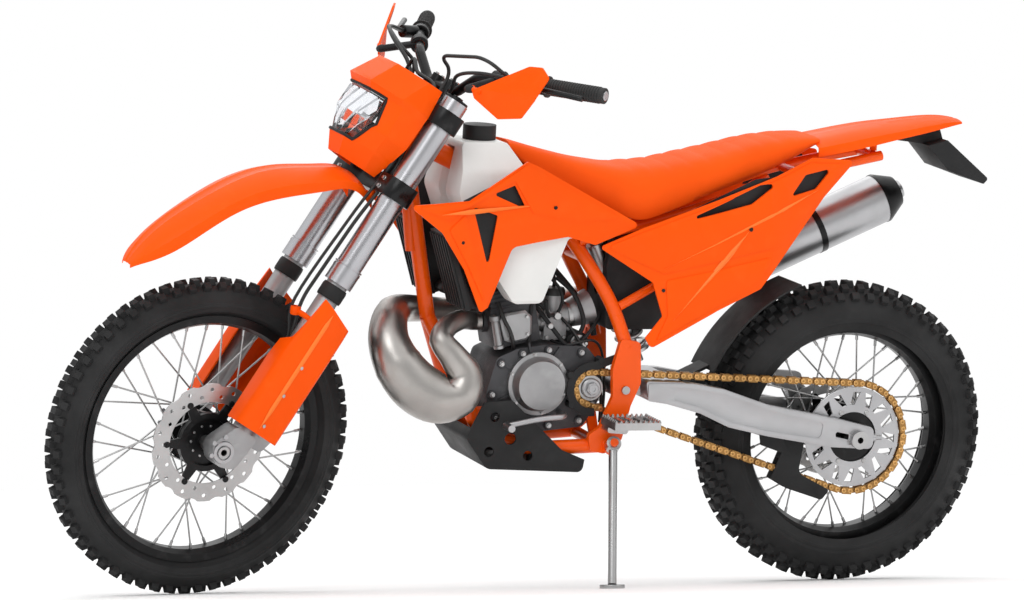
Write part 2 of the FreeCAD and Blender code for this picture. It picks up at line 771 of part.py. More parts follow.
def side_panel_half():
    outline = [
        (646, 771, 6), (548, 815), (243, 928, 20), (152, 968), (40, 960, 8), (117, 881, 30),
        (266, 681, 20), (370, 633), (518, 551, 10), (532, 574), (495, 622, 6), (522, 696, 6),
    ]
    upper = [
        (630, 772, 6), (546, 807), (250, 917, 16), (158, 957), (62, 953, 8), (124, 884, 20),
        (216, 778, 12), (500, 716, 8),
    ]
    lower = [(492, 700, 8), (236, 752, 8), (276, 690, 16), (374, 642), (506, 570), (484, 624, 6)]
    band = [(660, 128), (520, 142), (380, 146), (240, 136), (120, 112), (20, 92)]
    windows = [
        side_plate([(469, 826, 4), (282, 910, 6), (237, 915, 6), (300, 868, 6)], 60, 200),
        side_plate([(205, 883, 4), (170, 931, 6), (100, 945, 6), (141, 899, 6)], 60, 200),
    ]
    panel = side_plate(outline, 60, 200).common(curved_skin(band, 540, 980))
    raised = curved_skin(band, 540, 980, RAISED)
    layers = [side_plate(form, 60, 200).common(raised) for form in (upper, lower)]
    panel = fuse([panel] + layers).cut(windows)
    bosses = [side_rod(300, 813, 84.8, 138, 7), side_rod(497, 679, 91.3, 141, 7)]
    return fuse([panel] + bosses)


def side_panels(clear_of):
    """the right panel ends above the exhaust, the left one goes down behind the peg"""
    left = side_panel_half()
    below = side_plate([(560, 500), (560, 660), (497, 664), (230, 712), (80, 780), (80, 500)],
                       -220, -100)
    return Part.makeCompound([left, mirrored(left).cut(clear_of.fuse(below))])


def rear_fender():
    stations = [
        (128, 1006, 966, 95), (60, 1019, 979, 94), (-13, 1032, 994, 90), (-80, 1040, 1008, 81),
        (-140, 1047, 1019, 69), (-198, 1050, 1030, 53), (-238, 1045, 1037, 40),
    ]
    shell = section_loft([trough_section(*place, FENDER_WALL, 2.0) for place in stations])
    bosses = [rod(V(-30, side * 30, 974.3), V(-30, side * 30, 1030), 8) for side in (1, -1)]
    return fuse([shell] + bosses)


def plate_holder(fender):
    neck = side_plate([(-60, 1032), (-134, 1043), (-184, 1046), (-206, 985), (-190, 955),
                       (-150, 990), (-60, 1000)], -24, 24)
    plate = side_plate([(-150, 990), (-196, 1002), (-301, 917, 6), (-290, 905, 4), (-200, 935)],
                       -62, 62)
    window = side_plate([(-172, 982), (-198, 988), (-258, 938), (-246, 930), (-204, 950)], 30, 50)
    return fuse([neck, plate]).cut([fender, window, mirrored(window)])


def inner_mudguard():
    radius = REAR_R + 22
    outer = Part.makeCylinder(radius + 4, 130, V(0, -65, REAR_R), LEFT)
    inner = Part.makeCylinder(radius, 130, V(0, -65, REAR_R), LEFT)
    wedge = side_plate([(0, REAR_R), (440, REAR_R + 190), (440, REAR_R + 420), (190, REAR_R + 470)],
                       -80, 80)
    stay = side_plate([(332.5, 488), (415.5, 450), (413.2, 458), (330, 496)], -30, 30)
    return fuse([outer.common(wedge), stay]).cut(inner)


def arm_outline(corners):
    """side outline given by x and the height over the line from the axle to the pivot"""
    rise = (PIVOT.z - REAR_AXLE.z) / PIVOT.x
    return [(c[0], REAR_AXLE.z + rise * c[0] + c[1]) + tuple(c[2:]) for c in corners]


def swingarm():
    outline = [
        (508, 25.7, 6), (403, 46.2), (330, 48.2), (217, 33.4), (40, 35.8, 20), (-36, 33.4, 14),
        (-36, -14.6, 14), (70, -30.4), (221, -35.4), (314, -33.5), (382, -16.4, 20), (507, -8.1, 6),
    ]
    pocket = [
        (452, 28, 8), (400, 34), (326, 36), (214, 21), (86, 20, 10), (92, -16, 10), (222, -23),
        (310, -21), (386, -2, 14), (448, 2, 8),
    ]
    solids = []
    cuts = [side_rod(0, REAR_AXLE.z, -200, 200, REAR_AXLE_R)]
    cuts.append(side_rod(PIVOT.x, PIVOT.z, -200, 200, PIVOT_BOLT_R))
    cuts.append(side_plate(arm_outline([(56, 7, 5), (24, 7, 2), (24, -5, 2), (56, -5, 5)]), -200, 200))
    for low, high in (ARM_LEFT, ARM_RIGHT):
        solids.append(side_plate(arm_outline(outline), low, high))
        middle = (low + high) / 2
        outer = high if middle > 0 else low
        cuts.append(side_plate(arm_outline(pocket), outer - ARM_POCKET, outer + ARM_POCKET))
        bolt_at = V(-34, middle, REAR_AXLE.z + 2)
        solids.append(rod(bolt_at, bolt_at - V(26, 0, 0), 5))
        solids.append(rod(bolt_at, bolt_at - V(10, 0, 0), 9))
    yoke = [(512, 28.9, 6), (505, -13.7, 6), (425, -9.3, 10), (410, 45.8, 10)]
    solids.append(side_plate(arm_outline(yoke), ARM_RIGHT[0] + 4, ARM_LEFT[1] - 4))
    neck = [(580, 2.9), (580, -19.1), (500, -6.7), (500, 31.3)]
    solids.append(side_plate(arm_outline(neck), -72, 70))
    solids.append(side_rod(PIVOT.x, PIVOT.z, -PLATE_Y, PLATE_Y, PIVOT_TUBE_R))
    arm = fuse(solids).cut(cuts)
    bolt = side_rod(PIVOT.x, PIVOT.z, -118, 118, PIVOT_BOLT_R)
    return arm, bolt


def rear_axle():
    shaft = side_rod(0, REAR_AXLE.z, -124, 130, REAR_AXLE_R)
    nut = side_rod(0, REAR_AXLE.z, ARM_LEFT[1], 130, 20)
    head = side_rod(0, REAR_AXLE.z, -124, ARM_RIGHT[0], 18)
    spacers = [
        side_rod(0, REAR_AXLE.z, REAR_HUB_HALF + 0.3, ARM_LEFT[0], 19),
        side_rod(0, REAR_AXLE.z, ARM_RIGHT[1], -REAR_HUB_HALF - 0.3, 19),
    ]
    axle = fuse([shaft, nut, head] + spacers)
    return axle.cut(side_rod(0, REAR_AXLE.z, -200, 200, AXLE_BORE_R))


def chain():
    """loop of rollers as a band, with an outer plate on each side of every second link"""
    front = V(FRONT_SPROCKET.x, CHAIN_Y, FRONT_SPROCKET.z)
    rear = V(0, CHAIN_Y, REAR_AXLE.z)
    front_r = chain_pitch_r(FRONT_TEETH)
    rear_r = chain_pitch_r(REAR_TEETH)
    line = front - rear
    spread = math.asin((rear_r - front_r) / line.Length)
    base = math.atan2(line.z, line.x)
    top = base + math.pi / 2 - spread
    low = base - math.pi / 2 + spread

    def at(centre, radius, angle):
        return centre + V(radius * math.cos(angle), 0, radius * math.sin(angle))

    def loop(offset):
        big = rear_r + offset
        small = front_r + offset
        return Part.Wire([
            Part.Arc(at(rear, big, top), at(rear, big, base + math.pi),
                     at(rear, big, low)).toShape(),
            Part.LineSegment(at(rear, big, low), at(front, small, low)).toShape(),
            Part.Arc(at(front, small, low), at(front, small, base),
                     at(front, small, top)).toShape(),
            Part.LineSegment(at(front, small, top), at(rear, big, top)).toShape(),
        ])

    core = CHAIN_HALF_WIDTH - CHAIN_PLATE
    band = Part.Face(loop(CHAIN_HALF_HEIGHT - 2)).cut(Part.Face(loop(2 - CHAIN_HALF_HEIGHT)))
    band = band.extrude(LEFT * (2 * core))
    band.translate(V(0, -core, 0))
    path = loop(0)
    links = 2 * round(path.Length / PITCH / 2)
    plates = []
    for place in path.discretize(links + 1)[:-1:2]:
        along = path_direction(place, front, rear, front_r, rear_r, top, low)
        for y_low in (-CHAIN_HALF_WIDTH, core - 0.5):
            plate = Part.makeBox(PITCH + 6, CHAIN_PLATE + 0.5, 2 * CHAIN_HALF_HEIGHT,
                                 V(-PITCH / 2 - 3, y_low, -CHAIN_HALF_HEIGHT))
            plate.rotate(V(0, 0, 0), LEFT, -math.degrees(math.atan2(along.z, along.x)))
            plate.translate(place)
            plates.append(plate)
    return band.fuse(plates)


def path_direction(place, front, rear, front_r, rear_r, top, low):
    """direction of the chain's run at a place on it"""
    for centre, radius in ((rear, rear_r), (front, front_r)):
        spoke = place - centre
        if abs(spoke.Length - radius) < 0.2:
            return V(spoke.z, 0, -spoke.x)
    angle = top if place.z > (front.z + rear.z) / 2 else low
    return V(math.sin(angle), 0, -math.cos(angle))


def front_sprocket():
    gear = sprocket(FRONT_TEETH, 10, CHAIN_Y, SEAT_GAP)
    gear = gear.fuse(Part.makeCylinder(10, 26, V(0, CASE_HALF - 14, 0), LEFT))
    gear.translate(FRONT_SPROCKET)
    return gear


def chain_guide():
    outline = [(222, 346), (172, 310), (196, 250), (157, 228, 8), (70, 200, 8), (52, 222, 6),
               (130, 262, 20), (120, 330)]
    block = side_plate(outline, CHAIN_Y - 12, CHAIN_Y + 12)
    slot = side_plate([(260, 330), (260, 240), (30, 180), (30, 232)], CHAIN_Y - 9, CHAIN_Y + 9)
    tab = side_plate([(150, 300), (224, 326), (232, 372, 6), (190, 372, 6)], CHAIN_Y + 9,
                     ARM_LEFT[0])
    return fuse([block.cut(slot), tab])


def shock_absorber():
    low = V(488, 0, 500)
    high = V(610, 0, 770)
    along = (high - low).normalize()
    solids = [rod(low, high, 12), rod(low + along * 120, high - along * 10, 22)]
    for turn in range(7):
        at = low + along * (40 + 24 * turn)
        ring = Part.makeTorus(28, 5, at, along)
        solids.append(ring)
        solids.append(rod(at - along * 3, at + along * 3, 25))
    solids.append(rod(low + along * 25, low + along * 32, 34))
    solids.append(rod(low + along * 196, low + along * 204, 34))
    return fuse(solids)


def rear_caliper():
    block = side_plate([(60, 412, 10), (138, 432, 10), (150, 468, 12), (70, 462, 14)], -74, -60)
    mount = side_plate([(34, 366), (84, 372), (100, 430), (70, 440), (40, 415)], ARM_RIGHT[1], -66)
    return fuse([block, mount])


def footpegs():
    peg = Part.makeBox(106, 86, 16, V(516, 136, 386))
    teeth = []
    for index in range(4):
        teeth.append(Part.makeBox(14, 66, 30, V(528 + 24 * index, 146, 380)))
    hanger = side_plate([(556, 384, 6), (604, 404, 6), (612, 368, 6), (566, 364, 6)], 112, 150)
    return both(fuse([peg.cut(teeth), hanger]))


def foot_levers():
    case_y = CASE_HALF - 14
    shift = [V(697, case_y, 401), V(697, 128, 401), V(760, 136, 398), V(842, 140, 384)]
    lever = bent_tube(shift, 6)
    tip = side_rod(842, 384, 138, 176, 8)
    outer = -PLATE_Y - PLATE_THICK
    pedal_path = [V(622, -121, 345), V(700, -124, 350), V(800, -128, 372), V(850, -130, 392)]
    pedal = bent_tube(pedal_path, 7).fuse(side_rod(622, 345, outer - 18, outer, 10))
    pad = Part.makeBox(30, 44, 8, V(838, -174, 388))
    return Part.makeCompound([lever.fuse(tip), pedal.fuse(pad)])


# Steering


def triple_clamps():
    solids = []
    for low, high in (LOWER_CLAMP, UPPER_CLAMP):
        wide = FORK_HALF + FORK_TUBE_R + CLAMP_WALL
        back = -25.0
        front = CLAMP_OFFSET + FORK_TUBE_R + CLAMP_WALL
        corners = [
            (back, -16, 10), (back, 16, 10), (-6, 84, 20), (CLAMP_OFFSET - 30, wide, 20),
            (front, wide, 30), (front, 72, 30), (front - 22, 40, 20), (front - 22, -40, 20),
            (front, -72, 30), (front, -wide, 30), (CLAMP_OFFSET - 30, -wide, 20), (-6, -84, 20),
        ]
        plate = fork_plate(corners, low, high)
        for side in (1, -1):
            at = (CLAMP_OFFSET, side * FORK_HALF)
            plate = plate.cut(rod(fork_point(low - 5, *at), fork_point(high + 5, *at),
                                  FORK_TUBE_R))
        solids.append(plate)
    solids.append(rod(fork_point(LOWER_CLAMP[0], 0, 0), fork_point(UPPER_CLAMP[1] + 12, 0, 0),
                      STEM_R))
    return fuse(solids)


def fork_tubes():
    tubes = []
    at = (CLAMP_OFFSET, FORK_HALF)
    tube = rod(fork_point(FORK_TUBE_LOW, *at), fork_point(FORK_TUBE_TOP, *at), FORK_TUBE_R)
    step = rod(fork_point(FORK_TUBE_LOW, *at), fork_point(FORK_TUBE_LOW + 40, *at),
               FORK_TUBE_R + 3)
    room = rod(fork_point(FORK_TUBE_LOW - 5, *at), fork_point(FORK_TUBE_LOW + 200, *at),
               FORK_LEG_R + 0.3)
    tubes.append(fuse([tube, step]).cut(room))
    return both(tubes[0])


def fork_lowers():
    at = (CLAMP_OFFSET, FORK_HALF)
    leg = rod(fork_point(-REACH + 20, *at), fork_point(FORK_TUBE_LOW + 120, *at), FORK_LEG_R)
    lug = fork_side_plate(
        [(-8, -REACH + 62, 10), (50, -REACH + 62, 14), (80, -REACH, 30), (46, -REACH - 34, 30),
         (0, -REACH - 20, 20)], FORK_HALF - 24, FORK_HALF + 24)
    foot = fuse([leg, lug])
    foot = foot.cut(rod(fork_point(-REACH, AXLE_AHEAD, 50), fork_point(-REACH, AXLE_AHEAD, 200),
                        FRONT_AXLE_R))
    return both(foot)


def fork_guards():
    outer = [
        (-52, -9), (-50, 35, 14), (20, 43, 30), (58, 31, 24), (60, -21), (56, -21),
        (54, 27, 20), (20, 39, 26), (-46, 31, 10), (-48, -9),
    ]
    guard = fork_plate([(c[0], FORK_HALF + c[1]) + tuple(c[2:]) for c in outer], -618, -285)
    trim = fork_side_plate([(-60, -620), (70, -620), (70, -560), (44, -300), (-45, -330),
                            (-60, -560)], FORK_HALF - 45, FORK_HALF + 95)
    guard = guard.common(trim)
    leg = (CLAMP_OFFSET, FORK_HALF)
    room = rod(fork_point(-700, *leg), fork_point(-200, *leg), FORK_LEG_R + SEAT_GAP)
    bosses = []
    for along in (-596, -520, -450):
        boss = rod(fork_point(along, 8, FORK_HALF), fork_point(along, 8, FORK_HALF + 38), 9)
        bosses.append(boss.cut(room))
    return both(fuse([guard] + bosses))


def front_fender():
    """trough with a sunk centre strip, from its drooping tip back under the lower clamp"""
    stations = [
        (1692, 738, 726, 22), (1662, 780, 744, 46), (1612, 824, 768, 60), (1545, 866, 812, 69),
        (1470, 904, 856, 75), (1375, 931, 882, 77), (1265, 933, 894, 71), (1155, 884, 848, 60),
    ]
    shell = section_loft([trough_section(*place, FENDER_WALL, 2.0) for place in stations])
    under_clamp = LOWER_CLAMP[0] - SEAT_GAP
    bosses = [rod(fork_point(under_clamp, 43, side * 52), fork_point(-64, 43, side * 52), 6)
              for side in (1, -1)]
    return fuse([shell] + bosses)


def mask_loft(wall, over):
    """the mask's outer form, or with a wall and an overrun the room inside it"""
    wires = []
    back = CLAMP_OFFSET + FORK_TUBE_R + CLAMP_WALL + SEAT_GAP - over
    for along, ahead, half in MASK_STATIONS:
        half -= wall
        ahead -= wall
        along += over if along > LAMP_TOP else (-over if along < 0 else 0)
        corners = [(back, -half), (back, half), (ahead - 60, half * 0.92), (ahead, half * 0.42),
                   (ahead, -half * 0.42), (ahead - 60, -half * 0.92)]
        wires.append(rounded_wire(corners, lambda u, v: fork_point(along, u, v)))
    return Part.makeLoft(wires, True, True)


def headlight_mask():
    shell = mask_loft(0, 0).cut(mask_loft(5, 8))
    return shell.cut(lamp_window())


def handlebar():
    centre_along = UPPER_CLAMP[1] + 46
    base = fork_point(centre_along, 10, 0)
    left = [
        base + V(0, 62, 0),
        base + V(-12, 138, 50),
        base + V(-62, 240, 60),
        base + V(-165, BAR_HALF - 4, 66),
    ]
    right = [V(p.x, -p.y, p.z) for p in reversed(left)]
    bars = [bent_tube(right + left, BAR_R, 0.2)]
    for side in (34, -34):
        low = fork_point(UPPER_CLAMP[1], 10, side)
        high = fork_point(centre_along, 10, side)
        bars.append(rod(low, high + (high - low).normalize() * 20, 15))
    return fuse(bars), left


def grip_pair(left, bar):
    end = left[-1]
    along = (left[-1] - left[-2]).normalize()
    grip = rod(end - along * GRIP_LENGTH, end + along * 6, GRIP_R).cut(bar)
    return both(grip)


def bar_controls(left, bar):
    along = (left[-1] - left[-2]).normalize()
    perch = left[-1] - along * (GRIP_LENGTH + 34)
    body = rod(perch, perch + along * 26, 19)
    pot = rod(perch + V(12, 0, 4), perch + V(50, -10, 8), 14)
    blade = bent_tube([perch + V(46, -6, 6), perch + V(30, 44, 4), perch + V(-36, 146, 0)], 6)
    return both(fuse([body, pot, blade]).cut(bar))


def hand_guard(left, bar):
    """creased shell before the grip, on an arm clamped to the bar"""
    outline = [
        (0, 60, 8), (120, 130, 10), (150, 132, 8), (172, 112, 8), (150, 60, 6), (124, 18, 8),
        (70, 8, 8), (8, 44, 6),
    ]
    crease = [(0, -10), (12, 66), (2, 150), (-2.5, 150), (7.5, 66), (-4.5, -10)]
    origin = left[0] + V(46, 152, -20)
    along = V(-0.54, 0.84, 0.02).normalize()
    up = V(-0.12, 0, 1).normalize()
    across = along.cross(up)
    wire = rounded_wire(outline, lambda u, v: origin + along * u + up * v - across * 20)
    bent = rounded_wire(crease, lambda w, v: origin - along * 20 + across * w + up * v)
    shell = Part.Face(wire).extrude(across * 50)
    shell = shell.common(Part.Face(bent).extrude(along * 220))
    run = (left[-2] - left[-3]).normalize()
    seat_at = left[-2] - run * 60
    ring = rod(seat_at - run * 9, seat_at + run * 9, BAR_R + 6)
    arm = bent_tube([origin + along * 24 + up * 60 + across * 9, origin - along * 14 + up * 62,
                     seat_at + V(6, 0, 0)], 6)
    return both(fuse([shell, arm, ring]).cut(bar))


def headlamp():
    """a lens that wraps round from a centre crease"""
    wires = []
    for along, front, half in LAMP_ROWS:
        corners = [(LAMP_BACK, -half), (LAMP_BACK, half), (front - 30, half),
                   (front - 6, half * 0.62), (front, 0), (front - 6, -half * 0.62),
                   (front - 30, -half)]
        wires.append(rounded_wire(corners, lambda u, v: fork_point(along, u, v)))
    return Part.makeLoft(wires, True, True)


def lamp_window():
    """the lamp's front view with its gap, drawn out through the mask"""
    low, top = LAMP_ROWS[0][0] - LAMP_GAP, LAMP_ROWS[-1][0] + LAMP_GAP
    edge = [(along, half + LAMP_GAP) for along, _, half in LAMP_ROWS]
    edge[0] = (low, edge[0][1])
    edge[-1] = (top, edge[-1][1])
    corners = edge + [(along, -half) for along, half in reversed(edge)]
    wire = rounded_wire(corners, lambda along, v: fork_point(along, LAMP_BACK, v))
    return Part.Face(wire).extrude(AHEAD * LAMP_BACK)


def front_axle():
    def at(side):
        return fork_point(-REACH, AXLE_AHEAD, side)
    shaft = rod(at(-FORK_HALF - 30), at(FORK_HALF + 28), FRONT_AXLE_R)
    spacers = [
        rod(at(FRONT_HUB_HALF + 16), at(FORK_HALF - 24), 18),
        rod(at(-FORK_HALF + 24), at(-FRONT_HUB_HALF - SEAT_GAP), 18),
    ]
    head = rod(at(-FORK_HALF - 30), at(-FORK_HALF - 24), 17)
    axle = fuse([shaft, head] + spacers)
    return axle.cut(rod(at(-200), at(200), AXLE_BORE_R))


def front_caliper():
    corners = [
        (-40, -REACH + 150, 12), (-4, -REACH + 156, 12), (-4, -REACH + 44, 12),
        (-60, -REACH + 40, 14), (-74, -REACH + 96, 14),
    ]
    outer = FRONT_DISC_Y + 7
    inner = FRONT_DISC_Y - 7
    block = fork_side_plate(corners, outer, outer + 20)
    back = fork_side_plate([(c[0], c[1], 12) for c in corners], inner - 9, inner)
    bridge = fork_side_plate([(-60, -REACH + 148), (-14, -REACH + 156), (-10, -REACH + 142),
                              (-60, -REACH + 134)], inner - 9, outer + 1)
    ear = fork_side_plate([(-24, -REACH + 72), (12, -REACH + 60, 8), (12, -REACH + 32, 8),
                           (-24, -REACH + 44)], outer + 10, FORK_HALF - 24)
    pistons = [rod(fork_point(-REACH + along, ahead, outer + 18),
                   fork_point(-REACH + along, ahead, outer + 24), 13)
               for along, ahead in ((122, -26), (82, -38))]
    return fuse([block, back, bridge, ear] + pistons)


def cables(left, carriers):
    """a hose from each bar control down to the lower clamp, and one on to the front caliper"""
    grip_run = (left[-1] - left[-2]).normalize()
    perch = left[-1] - grip_run * (GRIP_LENGTH + 34)
    hoses = []
    for side, rise, drop in ((1, 44, 30), (-1, 22, 14)):
        begin = perch + V(50, -10, 8)
        line = [begin, begin + V(54, -26, rise), fork_point(238 + drop, 104, 84),
                fork_point(226 + drop, 50, 70), fork_point(20, 48, 72),
                fork_point(-22, 39, 66)]
        hoses.append(bent_tube([V(q.x, side * q.y, q.z) for q in line], CABLE_R).cut(carriers))
    low = [fork_point(LOWER_CLAMP[0], 52, 88), fork_point(-120, 58, 84), fork_point(-330, 58, 74),
           fork_point(-400, 30, 74), fork_point(-REACH + 182, -16, 72),
           fork_point(-REACH + 150, -22, 70)]
    hoses.append(bent_tube(low, CABLE_R).cut(carriers))
    return Part.makeCompound(hoses)


def steer(shape):
    shape.rotate(HEAD, AXIS, STEER_REST)
    return shape


# Side stand


def stand_foot():
    foot_z = (FLOOR + STAND_FOOT_Y * SIN_LEAN) / COS_LEAN
    return V(STAND_FOOT_X, STAND_FOOT_Y, foot_z)


def stand_axis():
    """square to the stand both as it stands and as it folds back under the frame"""
    return (stand_foot() - STAND_PIVOT).cross(STAND_FOLDED).normalize()


def side_stand():
    top = stand_foot() + UP * STAND_FOOT_THICK
    axis = stand_axis()
    leg = rod(STAND_PIVOT, top, STAND_LEG_R)
    pad = Part.makeCylinder(STAND_FOOT_R, STAND_FOOT_THICK, stand_foot(), UP)
    knuckle = rod(STAND_PIVOT - axis * STAND_KNUCKLE_HALF, STAND_PIVOT + axis * STAND_KNUCKLE_HALF,
                  STAND_KNUCKLE_R)
    bore = rod(STAND_PIVOT - axis * 40, STAND_PIVOT + axis * 40, STAND_PIN_R + RUNNING)
    return fuse([leg, pad, knuckle]).cut(bore)


def stand_bracket():
    """lug, web and pin that carry the side stand's knuckle"""
    axis = stand_axis()
    seat_low = STAND_PIVOT - axis * (STAND_KNUCKLE_HALF + SEAT_GAP)
    seat_high = STAND_PIVOT + axis * (STAND_KNUCKLE_HALF + SEAT_GAP)
    lug = rod(seat_low - axis * 9, seat_low, STAND_KNUCKLE_R)
    pin = rod(seat_low - axis * 4, seat_high + axis * 4, STAND_PIN_R)
    head = rod(seat_high, seat_high + axis * 5, STAND_PIN_R + 4)
    web = side_plate([(572, 348, 6), (606, 346, 6), (606, 318, 10), (576, 314, 10)], 106, 117)
    keep_out = rod(seat_low, seat_low + axis * 30, 60)
    return [lug, pin, head, web.cut(keep_out)]


def park(shape, shift):
    shape.rotate(V(0, 0, 0), V(1, 0, 0), -LEAN)
    shape.translate(shift)
    return shape


def main():
    os.makedirs("parts", exist_ok=True)
    arm, bolt = swingarm()
    case = crankcase()
    frame = main_frame(case)
    bar, bar_line = handlebar()
    barrel = cylinder()
    tank = fuel_tank()
    tail = rear_fender()
    clamps = triple_clamps()
    controls = bar_controls(bar_line, bar)
    caliper = front_caliper()
    parts = {
        "main_frame": frame, "subframe": subframe(frame), "skid_plate": skid_plate(frame),
        "crankcase": case, "engine_covers": engine_covers(), "cylinder": barrel,
        "carburettor": carburettor(barrel), "air_box": air_box(),
        "expansion_chamber": expansion_chamber(), "silencer": silencer(),
        "coolant_hoses": coolant_hoses(barrel), "radiators": radiators(),
        "radiator_guards": radiator_guards(),
        "fuel_tank": tank, "tank_cap": tank_cap(), "shrouds": shrouds(tank),
        "seat": seat(), "side_panels": side_panels(silencer_room()), "rear_fender": tail,
        "plate_holder": plate_holder(tail), "inner_mudguard": inner_mudguard(),
        "swingarm": arm, "pivot_bolt": bolt, "rear_axle": rear_axle(), "chain": chain(),
        "front_sprocket": front_sprocket(), "chain_guide": chain_guide(),
        "shock_absorber": shock_absorber(), "rear_caliper": rear_caliper(),
        "footpegs": footpegs(), "foot_levers": foot_levers(), "side_stand": side_stand(),
    }
    turned = {
        "triple_clamps": clamps, "fork_tubes": fork_tubes(),
        "fork_lowers": fork_lowers(), "fork_guards": fork_guards(),
        "front_fender": front_fender(), "headlight_mask": headlight_mask(),
        "headlamp": headlamp(), "handlebar": bar, "grips": grip_pair(bar_line, bar),
        "bar_controls": controls,
        "hand_guards": hand_guard(bar_line, bar),
        "front_axle": front_axle(), "front_caliper": caliper,
        "cables": cables(bar_line, [clamps, controls, caliper]),
    }
    turned.update(build_front_wheel())
    for shape in turned.values():
        steer(shape)
    parts.update(turned)
    parts.update(build_rear_wheel())
    box = FreeCAD.BoundBox()
    for shape in parts.values():
        park(shape, V(0, 0, -FLOOR))
        box.add(shape.optimalBoundingBox(True))
    shift = V(-box.Center.x, -box.Center.y, 0)
    for name, shape in parts.items():
        shape.translate(shift)
        shape.exportStep("parts/" + name + ".step")
        if not shape.isValid():
            print("not valid:", name)
    print("length", round(box.XLength), "width", round(box.YLength), "height", round(box.ZMax))
    return shift


main()
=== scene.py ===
"""Looks of the enduro motorcycle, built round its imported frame, in metres."""

import json
import logging
import math
from dataclasses import dataclass
from enum import Enum

import bmesh
import bpy
from mathutils import Matrix, Quaternion, Vector


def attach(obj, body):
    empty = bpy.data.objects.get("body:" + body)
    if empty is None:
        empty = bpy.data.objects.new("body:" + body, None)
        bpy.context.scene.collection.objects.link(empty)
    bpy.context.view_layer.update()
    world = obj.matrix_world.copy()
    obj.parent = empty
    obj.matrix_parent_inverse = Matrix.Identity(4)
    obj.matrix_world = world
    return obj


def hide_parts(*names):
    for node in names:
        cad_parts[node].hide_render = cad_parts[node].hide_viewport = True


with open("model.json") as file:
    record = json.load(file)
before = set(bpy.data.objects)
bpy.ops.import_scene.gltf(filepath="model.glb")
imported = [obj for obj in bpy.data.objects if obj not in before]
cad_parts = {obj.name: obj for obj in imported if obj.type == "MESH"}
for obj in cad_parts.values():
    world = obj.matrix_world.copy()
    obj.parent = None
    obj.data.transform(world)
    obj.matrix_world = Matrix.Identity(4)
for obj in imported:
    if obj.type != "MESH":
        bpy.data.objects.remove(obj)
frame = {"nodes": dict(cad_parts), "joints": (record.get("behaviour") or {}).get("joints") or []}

LOG = logging.getLogger("enduro")
MM = 0.001
IMAGE_WIDTH = 1024
ORANGE = (0.96, 0.092, 0.001)
WHITE = (1.0, 1.0, 1.0)
STRETCHES = ("Stretch X", "Stretch Y", "Stretch Z")
COAT_ROUGHNESS = 0.12
RELIEF_HEIGHT = 0.0006
WELD_DISTANCE = 0.00001
SMOOTH_BELOW = math.radians(28)

# The bike's own places, in upright millimetres, x and z where there are two.
RAKE = math.radians(32.0)
FORK_UP = (-math.sin(RAKE), 0.0, math.cos(RAKE))
FORK_AHEAD = (math.cos(RAKE), 0.0, math.sin(RAKE))
HEAD = (1090.0, 905.0)
FORK_HALF = 105.0
CLAMP_OFFSET = 22.0
CYLINDER_LEAN = math.radians(12.0)
CYLINDER_UP = (math.sin(CYLINDER_LEAN), 0.0, math.cos(CYLINDER_LEAN))
CYLINDER_FOOT = (792.1, 547.8)
FRONT_SPROCKET = (630.0, 455.0)
IGNITION = (752, 465)
CLUTCH = (732, 465)
CHAIN_Y = 82.0
CHAIN_PITCH = 15.875
CHAIN_TEETH = {"front": 14, "rear": 48}
SILENCER_START = (212.0, -128.0, 696.0)
SILENCER_END = (-150.0, -132.0, 855.5)
PANEL_BAND = [(20, 92), (120, 112), (240, 136), (380, 146), (520, 142), (660, 128)]

Point = tuple[float, float, float]
Outline = list[tuple[float, float]]
Colour = tuple[float, float, float]


class Body(Enum):
    """The bodies of the frame that pieces ride on."""

    CHASSIS = "chassis"
    STEERING = "steering"
    FRONT_WHEEL = "front_wheel"
    REAR_WHEEL = "rear_wheel"
    SIDE_STAND = "side_stand"


class Grain(Enum):
    """How a finish's fine relief runs over its surface."""

    MOULDED = "moulded"
    BRUSHED = "brushed"
    CAST = "cast"
    PLAIN = "plain"


@dataclass(frozen=True)
class Stance:
    """Turns the upright bike's millimetres into the parked bike's metres.

    The bike is measured upright, x forward from its rear axle and z up from its rear tyre's foot.
    """

    lean: float = 11.0
    steer: float = 10.0
    rear_axle_height: float = 340.0

    def joint(self, name: str) -> dict:
        """The frame's joint of that name."""
        return next(j for j in frame["joints"] if j["name"] == name)

    def turn(self) -> Matrix:
        """Rotation of the lean over the side stand."""
        return Matrix.Rotation(math.radians(-self.lean), 4, "X")

    def world(self, point: Point) -> Vector:
        """Place of a point of the upright bike.

        Args:
            point: Upright place in millimetres.

        Returns:
            The parked place in metres.
        """
        axle = Vector(self.joint("rear_wheel_spin")["pos_m"])
        from_axle = Vector((point[0], point[1], point[2] - self.rear_axle_height)) * MM
        return axle + self.turn() @ from_axle

    def direction(self, vector: Point) -> Vector:
        """Parked direction of an upright one, as a unit vector."""
        return (self.turn().to_3x3() @ Vector(vector)).normalized()

    def steered(self, point: Point) -> Vector:
        """Place of a point given with the bars straight, in metres."""
        joint = self.joint("steering_turn")
        head = Vector(joint["pos_m"])
        turn = Quaternion(Vector(joint["axis"]), math.radians(self.steer))
        return head + turn @ (self.world(point) - head)

    def steered_direction(self, vector: Point) -> Vector:
        """Parked direction of one given with the bars straight."""
        turn = Quaternion(Vector(self.joint("steering_turn")["axis"]), math.radians(self.steer))
        return (turn @ self.direction(vector)).normalized()


STANCE = Stance()


